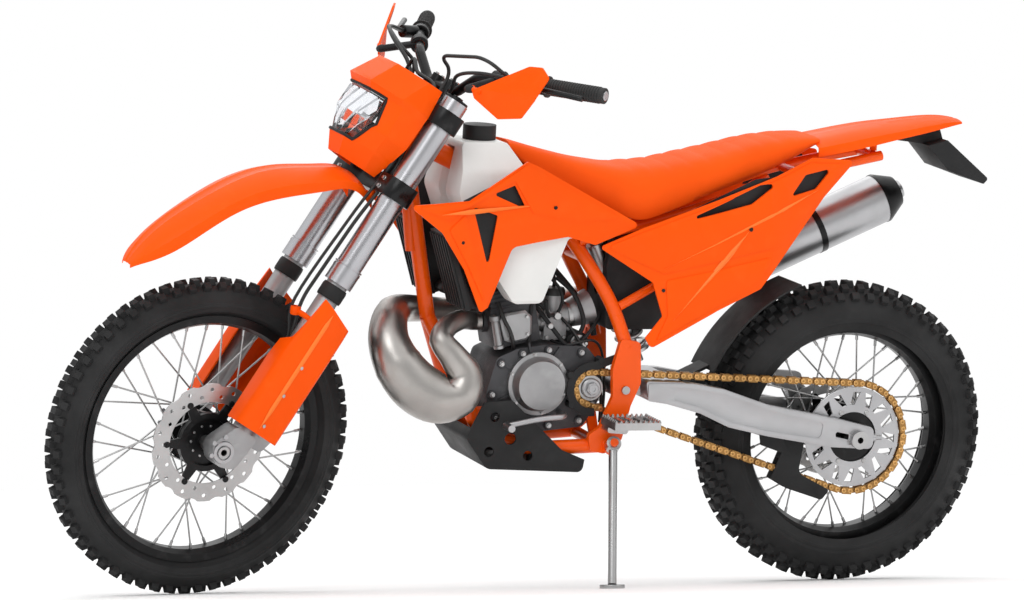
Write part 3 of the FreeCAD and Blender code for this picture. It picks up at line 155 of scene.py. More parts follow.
@dataclass(frozen=True)
class Wheel:
    """One of the two wheels, with its joint and body."""

    joint: str
    body: Body
    steered: bool

    def axes(self) -> tuple[Vector, Vector, Vector, Vector]:
        """Its centre in metres and its directions across, up and ahead."""
        facing = STANCE.steered_direction if self.steered else STANCE.direction
        centre = Vector(STANCE.joint(self.joint)["pos_m"])
        return centre, facing((0, 1, 0)), facing((0, 0, 1)), facing((1, 0, 0))


FRONT = Wheel("front_wheel_spin", Body.FRONT_WHEEL, True)
REAR = Wheel("rear_wheel_spin", Body.REAR_WHEEL, False)
LEFT = STANCE.direction((0, 1, 0))
UP = STANCE.direction((0, 0, 1))


def between(x: float, stations: list[tuple[float, float]]) -> float:
    """Value at x of a line through the stations, held level past both ends."""
    for (x0, v0), (x1, v1) in zip(stations, stations[1:]):
        if x <= x1:
            share = min(1.0, max(0.0, (x - x0) / (x1 - x0)))
            return v0 + (v1 - v0) * share
    return stations[-1][1]


def smooth_line(knots: list[Vector], steps: int) -> list[Vector]:
    """Places on a smooth line through the knots, with as many steps between each two."""
    last = len(knots) - 1
    line = []
    for index in range(last):
        a, b, c, d = (knots[min(max(k, 0), last)] for k in range(index - 1, index + 3))
        for step in range(steps):
            t = step / steps
            line.append(b + (c - a) * (t / 2) + (a * 2 - b * 5 + c * 4 - d) * (t * t / 2)
                        + (b * 3 - a - c * 3 + d) * (t * t * t / 2))
    line.append(knots[-1].copy())
    return line


def feed(tree: bpy.types.NodeTree, node: bpy.types.Node, inputs: dict) -> None:
    """Fills a node's inputs, each with a socket to link, a colour or a number."""
    for label, value in inputs.items():
        if isinstance(value, bpy.types.NodeSocket):
            tree.links.new(value, node.inputs[label])
        else:
            node.inputs[label].default_value = (
                (*value, 1.0) if isinstance(value, tuple) else value)


def add_node(tree: bpy.types.NodeTree, kind: str, inputs: dict | None = None,
             **settings) -> bpy.types.Node:
    """Adds a node to a tree.

    Args:
        tree: The tree that it goes into.
        kind: The node's type.
        inputs: What fills its inputs, by their names or numbers.
        settings: Its own settings, such as its operation.

    Returns:
        The node.
    """
    node = tree.nodes.new(kind)
    for name, value in settings.items():
        setattr(node, name, value)
    feed(tree, node, inputs or {})
    return node


class Groups:
    """Shader node groups that several finishes share, each built once."""

    made: dict[str, bpy.types.NodeTree] = {}

    @classmethod
    def new_tree(cls, name: str, inputs: list[tuple], outputs: list[tuple]) -> tuple:
        """Starts a group.

        Args:
            name: The group's name.
            inputs: Pairs of socket name and default value.
            outputs: Pairs of socket name and socket type.

        Returns:
            The tree, its input node and its output node.
        """
        tree = bpy.data.node_groups.new(name, "ShaderNodeTree")
        for label, value in inputs:
            kind = "NodeSocketFloat" if isinstance(value, float) else "NodeSocketColor"
            socket = tree.interface.new_socket(name=label, in_out="INPUT", socket_type=kind)
            socket.default_value = value if isinstance(value, float) else (*value, 1.0)
        for label, kind in outputs:
            tree.interface.new_socket(name=label, in_out="OUTPUT", socket_type=kind)
        cls.made[name] = tree
        return tree, tree.nodes.new("NodeGroupInput"), tree.nodes.new("NodeGroupOutput")

    @staticmethod
    def noise(tree: bpy.types.NodeTree, scale: float, detail: float) -> bpy.types.NodeSocket:
        """A noise on object coordinates."""
        where = add_node(tree, "ShaderNodeTexCoord").outputs["Object"]
        inputs = {"Scale": scale, "Detail": detail, "Vector": where}
        return add_node(tree, "ShaderNodeTexNoise", inputs).outputs["Fac"]

    @staticmethod
    def ramp(tree: bpy.types.NodeTree, source, low: float, high: float) -> bpy.types.NodeSocket:
        """A value stretched from low and high to 0 and 1."""
        inputs = {"From Min": low, "From Max": high, "Value": source}
        return add_node(tree, "ShaderNodeMapRange", inputs).outputs["Result"]

    @staticmethod
    def math(tree: bpy.types.NodeTree, operation: str, a, b) -> bpy.types.NodeSocket:
        """A math node on sockets or numbers."""
        return add_node(tree, "ShaderNodeMath", {0: a, 1: b}, operation=operation).outputs[0]

    @classmethod
    def wear(cls) -> bpy.types.NodeTree:
        """Mottled colour with fine scratches and dust, and the roughness that goes with it."""
        if "handled_surface" in cls.made:
            return cls.made["handled_surface"]
        inputs = [
            ("Colour", (0.5, 0.5, 0.5)),
            ("Worn Colour", (0.6, 0.6, 0.6)),
            ("Mottle", 0.1),
            ("Scuff", 0.1),
            ("Roughness", 0.5),
        ]
        outputs = [("Colour", "NodeSocketColor"), ("Roughness", "NodeSocketFloat")]
        tree, given, result = cls.new_tree("handled_surface", inputs, outputs)
        broad = cls.ramp(tree, cls.noise(tree, 9.0, 5.0), 0.35, 0.7)
        patch = cls.ramp(tree, cls.noise(tree, 34.0, 8.0), 0.55, 0.78)
        shade = cls.math(tree, "MULTIPLY", broad, given.outputs["Mottle"])
        darker = add_node(tree, "ShaderNodeHueSaturation", {
            "Color": given.outputs["Colour"], "Value": cls.math(tree, "SUBTRACT", 1.0, shade)})
        amount = cls.math(tree, "MULTIPLY", patch, given.outputs["Scuff"])
        mixed = add_node(tree, "ShaderNodeMix", {
            0: amount, 6: darker.outputs["Color"], 7: given.outputs["Worn Colour"]},
            data_type="RGBA")
        rough = cls.math(tree, "ADD", given.outputs["Roughness"],
                         cls.math(tree, "MULTIPLY", shade, 0.8))
        rough = cls.math(tree, "ADD", rough, cls.math(tree, "MULTIPLY", amount, 0.25))
        feed(tree, result, {"Colour": mixed.outputs[2], "Roughness": rough})
        return tree

    @classmethod
    def relief(cls, grain: Grain) -> bpy.types.NodeTree:
        """Height of a finish's fine relief.

        Args:
            grain: How the relief runs.

        Returns:
            A group with a Scale input and a Height output.
        """
        name = "relief_" + grain.value
        if name in cls.made:
            return cls.made[name]
        inputs = [("Scale", 400.0)] + [(label, 1.0) for label in STRETCHES]
        tree, given, result = cls.new_tree(name, inputs, [("Height", "NodeSocketFloat")])
        where = add_node(tree, "ShaderNodeTexCoord").outputs["Object"]
        stretch = add_node(tree, "ShaderNodeCombineXYZ",
                           {axis: given.outputs[label] for axis, label in enumerate(STRETCHES)})
        scaled = add_node(tree, "ShaderNodeVectorMath", {0: where, 1: stretch.outputs[0]},
                          operation="MULTIPLY")
        inputs = {"Vector": scaled.outputs[0], "Scale": given.outputs["Scale"]}
        if grain is Grain.CAST:
            height = add_node(tree, "ShaderNodeTexVoronoi", inputs).outputs["Distance"]
        else:
            inputs["Detail"] = 2.0 if grain is Grain.BRUSHED else 4.0
            height = add_node(tree, "ShaderNodeTexNoise", inputs).outputs["Fac"]
        feed(tree, result, {"Height": height})
        return tree


@dataclass(frozen=True)
class Finish:
    """A surface finish with its colour, gloss, wear and fine relief."""

    name: str
    colour: Colour
    roughness: float
    metallic: float = 0.0
    coat: float = 0.0
    worn_colour: Colour = (0.5, 0.5, 0.5)
    mottle: float = 0.12
    scuff: float = 0.1
    grain: Grain = Grain.MOULDED
    grain_scale: float = 900.0
    stretch: Point = (1.0, 1.0, 1.0)
    depth: float = 0.1
    specular: float = 0.5

    def material(self) -> bpy.types.Material:
        """The finish's material, built on first use."""
        found = bpy.data.materials.get("finish_" + self.name)
        if found:
            return found
        made = bpy.data.materials.new("finish_" + self.name)
        made.use_nodes = True
        made.diffuse_color = (*self.colour, 1.0)
        tree = made.node_tree
        handled = add_node(tree, "ShaderNodeGroup", {
            "Colour": self.colour, "Worn Colour": self.worn_colour, "Mottle": self.mottle,
            "Scuff": self.scuff, "Roughness": self.roughness}, node_tree=Groups.wear())
        shader = tree.nodes["Principled BSDF"]
        feed(tree, shader, {
            "Metallic": self.metallic, "Coat Weight": self.coat, "Coat Roughness": COAT_ROUGHNESS,
            "Specular IOR Level": self.specular, "Base Color": handled.outputs["Colour"],
            "Roughness": handled.outputs["Roughness"]})
        if self.grain is not Grain.PLAIN:
            inputs = {"Scale": self.grain_scale, **dict(zip(STRETCHES, self.stretch))}
            relief = add_node(tree, "ShaderNodeGroup", inputs,
                              node_tree=Groups.relief(self.grain))
            bump = add_node(tree, "ShaderNodeBump", {
                "Strength": self.depth, "Distance": RELIEF_HEIGHT,
                "Height": relief.outputs["Height"]})
            feed(tree, shader, {"Normal": bump.outputs["Normal"]})
        return made


@dataclass(frozen=True)
class Glass:
    """A clear or tinted lens."""

    name: str
    colour: Colour
    roughness: float = 0.03

    def material(self) -> bpy.types.Material:
        """The lens material, built on first use."""
        found = bpy.data.materials.get("finish_" + self.name)
        if found:
            return found
        made = bpy.data.materials.new("finish_" + self.name)
        made.use_nodes = True
        tree = made.node_tree
        speckle = add_node(tree, "ShaderNodeGroup", {
            "Colour": self.colour, "Worn Colour": self.colour, "Mottle": 0.03, "Scuff": 0.0,
            "Roughness": self.roughness}, node_tree=Groups.wear())
        feed(tree, tree.nodes["Principled BSDF"], {
            "Roughness": self.roughness, "IOR": 1.49, "Transmission Weight": 1.0,
            "Base Color": speckle.outputs["Colour"]})
        return made


ORANGE_PLASTIC = Finish("orange_moulding", ORANGE, 0.36, worn_colour=(0.95, 0.16, 0.02),
                        mottle=0.05, scuff=0.12, grain_scale=1500.0, depth=0.05, specular=0.1)
# A lighter copy of the orange moulding: painted highlight for the light that the panels' crease
# facets catch.
ORANGE_PAINTED_HIGHLIGHT = Finish("orange_painted_highlight", (0.98, 0.2, 0.03), 0.34, worn_colour=(0.95, 0.26, 0.06),
                     mottle=0.04, grain_scale=1500.0, depth=0.03, specular=0.15)
ORANGE_PAINT = Finish("orange_frame_paint", (0.92, 0.098, 0.002), 0.26, coat=0.25,
                      worn_colour=(0.8, 0.1, 0.005), mottle=0.07, grain_scale=300.0, depth=0.04,
                      specular=0.15)
BLACK_PLASTIC = Finish("black_moulding", (0.012, 0.012, 0.0125), 0.5, specular=0.35,
                       worn_colour=(0.035, 0.035, 0.035), mottle=0.3, scuff=0.3,
                       grain_scale=1400.0, depth=0.22)
WHITE_TANK = Finish("natural_tank", (0.78, 0.78, 0.76), 0.4, worn_colour=(0.62, 0.61, 0.57),
                    mottle=0.07, scuff=0.15, grain_scale=700.0, depth=0.06)
CAST_DARK = Finish("dark_casting", (0.09, 0.09, 0.095), 0.5, metallic=0.85, mottle=0.3, scuff=0.3,
                   worn_colour=(0.3, 0.3, 0.3), grain=Grain.CAST, grain_scale=1300.0, depth=0.35)
CAST_LIGHT = Finish("light_casting", (0.4, 0.4, 0.405), 0.34, metallic=0.9, mottle=0.25,
                    scuff=0.25, worn_colour=(0.6, 0.6, 0.6), grain=Grain.CAST,
                    grain_scale=1600.0, depth=0.25)
ROLLED_STEEL = Finish("rolled_steel", (0.44, 0.42, 0.4), 0.3, metallic=1.0, mottle=0.22,
                      scuff=0.35, worn_colour=(0.42, 0.38, 0.34), grain=Grain.BRUSHED,
                      grain_scale=260.0, stretch=(1.0, 0.25, 1.6), depth=0.12)
SILENCER_SKIN = Finish("brushed_can", (0.46, 0.46, 0.47), 0.3, metallic=1.0, mottle=0.15,
                       scuff=0.2, worn_colour=(0.45, 0.45, 0.45), grain=Grain.BRUSHED,
                       grain_scale=500.0, stretch=(1.2, 0.3, 1.0), depth=0.3)
SATIN_ALLOY = Finish("satin_alloy", (0.46, 0.46, 0.47), 0.32, metallic=1.0, mottle=0.12, scuff=0.25,
                     worn_colour=(0.5, 0.5, 0.5), grain=Grain.BRUSHED, grain_scale=700.0,
                     stretch=(0.12, 1.0, 1.0), depth=0.25)
FORK_ALLOY = Finish("brushed_fork_tube", (0.46, 0.46, 0.48), 0.24, metallic=1.0, mottle=0.1,
                    scuff=0.12, worn_colour=(0.42, 0.42, 0.42), grain=Grain.BRUSHED,
                    grain_scale=900.0, stretch=(1.0, 1.0, 0.12), depth=0.08)
BLACK_ALLOY = Finish("black_anodised", (0.01, 0.01, 0.0105), 0.26, metallic=0.6,
                     worn_colour=(0.15, 0.15, 0.15), mottle=0.2, scuff=0.15,
                     grain_scale=1200.0, depth=0.12)
PLATED_STEEL = Finish("plated_steel", (0.48, 0.48, 0.48), 0.26, metallic=1.0, mottle=0.2, scuff=0.2,
                      worn_colour=(0.4, 0.38, 0.35), grain_scale=900.0, depth=0.12)
GROUND_STEEL = Finish("ground_disc_steel", (0.5, 0.5, 0.5), 0.28, metallic=1.0, mottle=0.12,
                      scuff=0.3, worn_colour=(0.4, 0.4, 0.4), grain=Grain.BRUSHED,
                      grain_scale=1200.0, depth=0.3)
GOLD_STEEL = Finish("gold_chain_steel", (0.4, 0.22, 0.075), 0.34, metallic=1.0, mottle=0.25,
                    scuff=0.3, worn_colour=(0.25, 0.15, 0.06), grain_scale=900.0, depth=0.1)
GOLD_LINK = Finish("gold_link_steel", (0.66, 0.38, 0.14), 0.28, metallic=1.0, mottle=0.2,
                   scuff=0.25, worn_colour=(0.45, 0.27, 0.1), grain_scale=900.0, depth=0.1)
TYRE_RUBBER = Finish("tyre_rubber", (0.017, 0.017, 0.0175), 0.55, worn_colour=(0.035, 0.034, 0.033),
                     mottle=0.35, scuff=0.35, grain_scale=900.0, depth=0.35, specular=0.3)
GRIP_RUBBER = Finish("grip_rubber", (0.014, 0.014, 0.014), 0.6, worn_colour=(0.05, 0.05, 0.05),
                     scuff=0.2, grain_scale=1500.0, depth=0.25)
HOSE_RUBBER = Finish("hose_rubber", (0.012, 0.012, 0.012), 0.42, worn_colour=(0.05, 0.05, 0.05),
                     grain_scale=1500.0, depth=0.12)
SEAT_COVER = Finish("seat_cover", (0.93, 0.094, 0.002), 0.6, worn_colour=(0.85, 0.12, 0.01),
                    mottle=0.1, scuff=0.15, grain=Grain.CAST, grain_scale=900.0, depth=0.3,
                    specular=0.12)
REFLECTOR = Finish("lamp_reflector", (0.85, 0.85, 0.86), 0.08, metallic=1.0, mottle=0.05,
                   scuff=0.0, grain_scale=300.0, depth=0.05)
CLEAR_LENS = Glass("clear_lens", (0.95, 0.97, 1.0))

NODE_FINISHES: dict[str, Finish | Glass] = {
    name: finish for finish, names in (
        (ORANGE_PAINT, "main_frame subframe"),
        (BLACK_PLASTIC, "skid_plate air_box radiator_guards tank_cap plate_holder "
                        "inner_mudguard chain_guide"),
        (CAST_DARK, "crankcase cylinder"),
        (CAST_LIGHT, "engine_covers carburettor rear_caliper fork_lowers front_caliper"),
        (ROLLED_STEEL, "expansion_chamber"),
        (SILENCER_SKIN, "silencer"),
        (BLACK_ALLOY, "radiators triple_clamps handlebar bar_controls front_rim front_hub "
                      "rear_rim rear_hub"),
        (WHITE_TANK, "fuel_tank"),
        (ORANGE_PLASTIC, "shrouds side_panels rear_fender fork_guards front_fender "
                         "headlight_mask hand_guards"),
        (SEAT_COVER, "seat"),
        (HOSE_RUBBER, "cables coolant_hoses"),
        (SATIN_ALLOY, "swingarm foot_levers rear_sprocket"),
        (PLATED_STEEL, "pivot_bolt rear_axle front_sprocket shock_absorber footpegs side_stand "
                       "front_axle front_spokes rear_spokes"),
        (GOLD_STEEL, "chain"),
        (FORK_ALLOY, "fork_tubes"),
        (CLEAR_LENS, "headlamp"),
        (GRIP_RUBBER, "grips"),
        (TYRE_RUBBER, "front_tyre rear_tyre"),
        (GROUND_STEEL, "front_disc rear_disc"),
    ) for name in names.split()
}
EDGE_ROUNDING: dict[str, float] = {
    name: width for width, names in (
        (0.0009, "shrouds side_panels"),
        (0.0008, "rear_fender front_fender"),
        (0.001, "plate_holder fork_guards skid_plate footpegs chain_guide silencer "
                "bar_controls side_stand"),
        (0.0015, "headlight_mask front_caliper rear_caliper fork_lowers"),
        (0.0012, "hand_guards"),
        (0.002, "triple_clamps swingarm radiators engine_covers"),
        (0.004, "crankcase cylinder fuel_tank air_box"),
        (0.003, "tank_cap"),
    ) for name in names.split()
}


class Workshop:
    """Rounds, skins and bevels that the pieces share."""

    @staticmethod
    def bevel(target: bpy.types.Object, width: float, segments: int = 2) -> None:
        """Rounds a piece's edges by a width in metres."""
        cut = target.modifiers.new("rounded_edges", "BEVEL")
        cut.width = width
        cut.segments = segments
        cut.limit_method = "ANGLE"
        cut.angle_limit = math.radians(30)
        cut.harden_normals = False

    @staticmethod
    def spokes(side: Vector, other: Vector, count: int) -> list[Vector]:
        """Directions evenly round a circle, from one unit vector on towards another."""
        angles = [2 * math.pi * step / count for step in range(count)]
        return [side * math.cos(angle) + other * math.sin(angle) for angle in angles]

    @classmethod
    def round_axis(cls, axis: Vector, count: int) -> list[Vector]:
        """Directions evenly round an axis."""
        side = axis.orthogonal().normalized()
        return cls.spokes(side, axis.cross(side).normalized(), count)

    @staticmethod
    def skin(count: int, rings: int, closed: bool = False, capped: bool = True) -> list[tuple]:
        """Faces over rings of as many points each, closed into a loop or capped."""
        total = count * rings
        faces = [tuple(i % total for i in (ring * count + k, ring * count + (k + 1) % count,
                                           (ring + 1) * count + (k + 1) % count,
                                           (ring + 1) * count + k))
                 for ring in range(rings if closed else rings - 1) for k in range(count)]
        if capped and not closed:
            faces += [tuple(reversed(range(count))), tuple(range(total - count, total))]
        return faces


class Shading:
    """Modifiers that round and smooth the CAD nodes and leave their meshes as they are."""

    @staticmethod
    def tree(name: str, weld: bool) -> bpy.types.NodeTree:
        """Geometry nodes that weld, or that smooth every edge flatter than a limit.

        Args:
            name: The tree's name.
            weld: Whether it welds, and otherwise it smooths.

        Returns:
            The tree.
        """
        found = bpy.data.node_groups.get(name)
        if found:
            return found
        tree = bpy.data.node_groups.new(name, "GeometryNodeTree")
        for way in ("INPUT", "OUTPUT"):
            tree.interface.new_socket(name="Geometry", in_out=way,
                                      socket_type="NodeSocketGeometry")
        given = tree.nodes.new("NodeGroupInput").outputs[0]
        if weld:
            shaped = add_node(tree, "GeometryNodeMergeByDistance",
                              {"Geometry": given, "Distance": WELD_DISTANCE})
        else:
            angle = add_node(tree, "GeometryNodeInputMeshEdgeAngle")
            flat = add_node(tree, "FunctionNodeCompare", {
                "A": angle.outputs["Unsigned Angle"], "B": SMOOTH_BELOW}, operation="LESS_THAN")
            faces = add_node(tree, "GeometryNodeSetShadeSmooth", {"Geometry": given})
            shaped = add_node(tree, "GeometryNodeSetShadeSmooth", {
                "Geometry": faces.outputs[0], "Shade Smooth": flat.outputs["Result"]},
                domain="EDGE")
        add_node(tree, "NodeGroupOutput", {0: shaped.outputs[0]})
        return tree

    @classmethod
    def dress(cls, node: bpy.types.Object, round_by: float) -> None:
        """Adds the modifiers to a CAD node.

        Args:
            node: The node's object.
            round_by: Width of its rounded edges in metres, or 0 for none.
        """
        weld = node.modifiers.new("weld", "NODES")
        weld.node_group = cls.tree("weld_corners", True)
        if round_by > 0:
            Workshop.bevel(node, round_by)
        smooth = node.modifiers.new("smooth", "NODES")
        smooth.node_group = cls.tree("smooth_flat_edges", False)


class MeshStore:
    """Gathers the points and faces of many like shapes in one mesh."""

    def __init__(self) -> None:
        """Starts with nothing in it."""
        self.points: list[Vector] = []
        self.faces: list[tuple[int, ...]] = []

    def add(self, points: list[Vector], faces: list[tuple[int, ...]]) -> None:
        """Adds one shape's points and faces."""
        base = len(self.points)
        self.points.extend(points)
        self.faces.extend(tuple(base + i for i in face) for face in faces)

    def piece(self, name: str, finish: Finish | Glass, body: Body, slot: str,
              smooth_angle: float | None = 30.0) -> bpy.types.Object:
        """Makes what it holds into an object that rides on a body.

        Args:
            name: The piece's name.
            finish: The finish that it takes.
            body: The body that it rides on.
            slot: The record's material slot, which is not used.
            smooth_angle: Edges sharper than this stay sharp, and None keeps flat faces.

        Returns:
            The object.
        """
        mesh = bpy.data.meshes.new(name)
        mesh.from_pydata(self.points, [], self.faces)
        work = bmesh.new()
        work.from_mesh(mesh)
        bmesh.ops.recalc_face_normals(work, faces=work.faces)
        work.to_mesh(mesh)
        work.free()
        made = bpy.data.objects.new(name, mesh)
        bpy.context.scene.collection.objects.link(made)
        if smooth_angle is not None:
            mesh.shade_smooth()
            mesh.set_sharp_from_angle(angle=math.radians(smooth_angle))
        mesh.materials.append(finish.material())
        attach(made, body.value)
        LOG.info("%s: %d faces on %s", name, len(self.faces), body.value)
        return made

    def lathe(self, centre: Vector, axis: Vector, profile: list[tuple[float, float]],
              segments: int) -> None:
        """Turns an outline about an axis and closes it into a ring.

        Args:
            centre: A point on the axis.
            axis: The axis as a unit vector.
            profile: Pairs of radius and place along the axis, round the section.
            segments: Steps round the axis.
        """
        points = [centre + out * r + axis * y for out in Workshop.round_axis(axis, segments)
                  for r, y in profile]
        self.add(points, Workshop.skin(len(profile), segments, closed=True))

    def collar(self, centre: Vector, axis: Vector, inner: float, outer: float, length: float,
               segments: int) -> None:
        """A plain ring about an axis, from its centre on."""
        self.lathe(centre, axis, [(inner, 0), (outer, 0), (outer, length), (inner, length)],
                   segments)

    def prism(self, centre: Vector, axis: Vector, radius: float, length: float, sides: int,
              chamfer: float = 0.0) -> None:
        """A round or many-sided stub that starts at its centre and runs along its axis."""
        rings = [(0.0, radius), (length - chamfer, radius)]
        if chamfer > 0:
            rings.append((length, radius - chamfer))
        points = [centre + axis * along + out * size for along, size in rings
                  for out in Workshop.round_axis(axis, sides)]
        self.add(points, Workshop.skin(sides, len(rings)))

    def block(self, corners: list[Vector]) -> None:
        """A solid of eight corners, the base's four and then the top's four."""
        self.add(corners, [(3, 2, 1, 0), (4, 5, 6, 7), (0, 1, 5, 4), (1, 2, 6, 5), (2, 3, 7, 6),
                           (3, 0, 4, 7)])

    def slab(self, near: list[Vector], far: list[Vector]) -> None:
        """A solid between two outlines of as many points."""
        self.add(near + far, Workshop.skin(len(near), 2))

    def plate(self, outline: Outline, low: float, high: float, chamfer: float = 0.0) -> None:
        """An outline seen from the side, drawn out across the bike in upright millimetres.

        Args:
            outline: Pairs of x and z.
            low: Where it starts, as a y.
            high: Where it ends, as a y farther from the bike's middle.
            chamfer: How far its outer edge is cut back.
        """
        out = 1 if high > low else -1
        middle_x = sum(x for x, _ in outline) / len(outline)
        middle_z = sum(z for _, z in outline) / len(outline)
        drawn = []
        for x, z in outline:
            reach = math.hypot(x - middle_x, z - middle_z)
            share = max(0.0, 1 - chamfer / reach)
            drawn.append((middle_x + (x - middle_x) * share, middle_z + (z - middle_z) * share))
        near = [STANCE.world((x, low, z)) for x, z in outline]
        if chamfer <= 0:
            self.slab(near, [STANCE.world((x, high, z)) for x, z in outline])
            return
        shoulder = [STANCE.world((x, high - out * chamfer, z)) for x, z in outline]
        top = [STANCE.world((x, high, z)) for x, z in drawn]
        self.add(near + shoulder + top, Workshop.skin(len(outline), 3))

    def hose(self, path: list[Point], radius: float, steered: bool = False) -> None:
        """A smooth hose through upright places, with its radius in millimetres."""
        at = STANCE.steered if steered else STANCE.world
        line = smooth_line([Vector(q) for q in path], 6)
        self.tube([at(tuple(q)) for q in line], radius * MM, 12)

    def tube(self, points: list[Vector], radius: float, sides: int, closed: bool = False) -> None:
        """A round tube through parked points in metres, closed into a loop or capped."""
        rings = []
        count = len(points)
        side = None
        for index, point in enumerate(points):
            before = points[index - 1] if closed or index else points[0]
            after = points[(index + 1) % count] if closed or index < count - 1 else points[-1]
            along = (after - before).normalized()
            side = along.orthogonal() if side is None else side - along * side.dot(along)
            side.normalize()
            rings.extend(point + out * radius
                         for out in Workshop.spokes(side, along.cross(side), sides))
        self.add(rings, Workshop.skin(sides, count, closed))


@dataclass(frozen=True)
class KnobRow:
    """One row of knobs round a tyre, with its lean from the middle and its sizes in metres."""

    tilt: float
    width: float
    length: float
    stagger: float


@dataclass
class KnobbyTyre:
    """A tyre with a rounded carcass, ribbed sidewalls and rows of bevelled knobs."""

    node: str
    wheel: Wheel
    outer: float
    crown: float
    bead: float
    rim_half: float
    lean: float
    knobs: int
    rows: tuple[KnobRow, ...]
    tread_depth: float = 0.012

    def section(self) -> list[tuple[float, float]]:
        """Radius and place across the tyre, round its section."""
        core = self.outer - self.crown
        base = self.crown - self.tread_depth
        half = self.rim_half - 0.0045
        side = [
            (self.bead, half), (self.bead + 0.0115, half), (self.bead + 0.016, half + 0.004),
            (core - 0.45 * self.crown, self.crown - 0.008),
            (core - 0.22 * self.crown, self.crown - 0.0045),
            (core - 0.2 * self.crown, self.crown - 0.003),
            (core - 0.12 * self.crown, self.crown - 0.003),
            (core - 0.1 * self.crown, self.crown - 0.0042),
            (core, self.crown - 0.0036), (core + 0.25 * base, 0.965 * base + 0.002),
            (core + 0.6 * base, 0.85 * base), (core + 0.8 * base, 0.64 * base),
            (core + 0.93 * base, 0.38 * base), (core + 0.965 * base, 0.16 * base),
        ]
        return [(r, -y) for r, y in side] + [(r, y) for r, y in reversed(side)]

    def build(self) -> bpy.types.Object:
        """The tyre as one piece that stands for the CAD tyre."""
        centre, axis, up, forward = self.wheel.axes()
        store = MeshStore()
        store.lathe(centre, axis, self.section(), 180)
        core = self.outer - self.crown
        foot_height = self.crown - self.tread_depth - 0.006
        for row in self.rows:
            tilt = math.radians(row.tilt)
            top = self.crown
            if row.tilt == 0:
                lean = math.radians(self.lean)
                top = (self.crown - math.sin(lean) * row.width / 2) / math.cos(lean)
            for step in range(self.knobs):
                angle = 2 * math.pi * (step + row.stagger) / self.knobs
                out = up * math.cos(angle) + forward * math.sin(angle)
                ahead = axis.cross(out)
                normal = out * math.cos(tilt) + axis * math.sin(tilt)
                across = axis * math.cos(tilt) - out * math.sin(tilt)
                middle = centre + out * core
                corners = []
                for level, grow in ((foot_height, 1.14), (top, 0.95)):
                    for sx, sy in ((-1, -1), (1, -1), (1, 1), (-1, 1)):
                        corners.append(middle + normal * level
                                       + across * (sx * row.width / 2 * grow)
                                       + ahead * (sy * row.length / 2 * grow))
                store.block(corners)
        tyre = store.piece(self.node + "_tread", TYRE_RUBBER, self.wheel.body, "tyre_rubber",
                           40.0)
        Workshop.bevel(tyre, 0.0011, 2)
        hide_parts(self.node)
        return tyre


@dataclass
class RibbedSeat:
    """The saddle: a crowned cover with cross ribs in its rear half."""

    fill: float = 0.7
    rear: float = 120.0
    front: float = 836.0
    stations: int = 150
    rib_start: float = 560.0
    rib_end: float = 170.0
    ribs: int = 9
    rib_height: float = 3.0

    def outline(self, x: float) -> tuple[float, float, float]:
        """Top height, under height and half width of the saddle at a station, in millimetres."""
        top = between(x, [(118, 1006), (155, 1009), (250, 997), (356, 971), (480, 944),
                          (579, 938), (673, 951), (755, 970), (838, 992)])
        low = between(x, [(118, 998), (158, 972), (243, 934), (387, 881), (529, 823),
                          (556, 823), (700, 885), (815, 951), (838, 984)])
        half = between(x, [(118, 74), (240, 98), (420, 113), (556, 108), (700, 76), (845, 46)])
        return top, low, half

    def build(self) -> bpy.types.Object:
        """The saddle as one padded piece that stands for the CAD seat."""
        store = MeshStore()
        rings = []
        profile = [(-0.9, 0.02), (-0.97, 0.2), (-1.0, 0.42), (-0.99, 0.62), (-0.93, 0.79),
                   (-0.82, 0.9), (-0.64, 0.965), (-0.4, 0.99), (-0.15, 1.0), (0.0, 1.0)]
        profile += [(-u, v) for u, v in reversed(profile[:-1])]
        profile += [(0.45, 0.0), (-0.45, 0.0)]
        for step in range(self.stations + 1):
            x = self.rear + (self.front - self.rear) * step / self.stations
            smooth = [self.outline(x + d) for d in (-24, -12, 0, 12, 24)]
            top, low, half = (sum(s[i] for s in smooth) / 5 for i in range(3))
            ring = []
            for u, v in profile:
                z = low + (top - low) * v
                if v > 0.85 and self.rib_end < x < self.rib_start:
                    phase = (x - self.rib_end) / (self.rib_start - self.rib_end) * self.ribs
                    z += self.rib_height * (abs(math.sin(math.pi * phase)) ** 0.5 - 0.6)
                ring.append(STANCE.world((x, u * half, z)))
            rings.append(ring)
        store.add([p for ring in rings for p in ring], Workshop.skin(len(rings[0]), len(rings)))
        seat = store.piece("saddle_cover", SEAT_COVER, Body.CHASSIS, "seat_cover", 60.0)
        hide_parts("seat")
        return seat


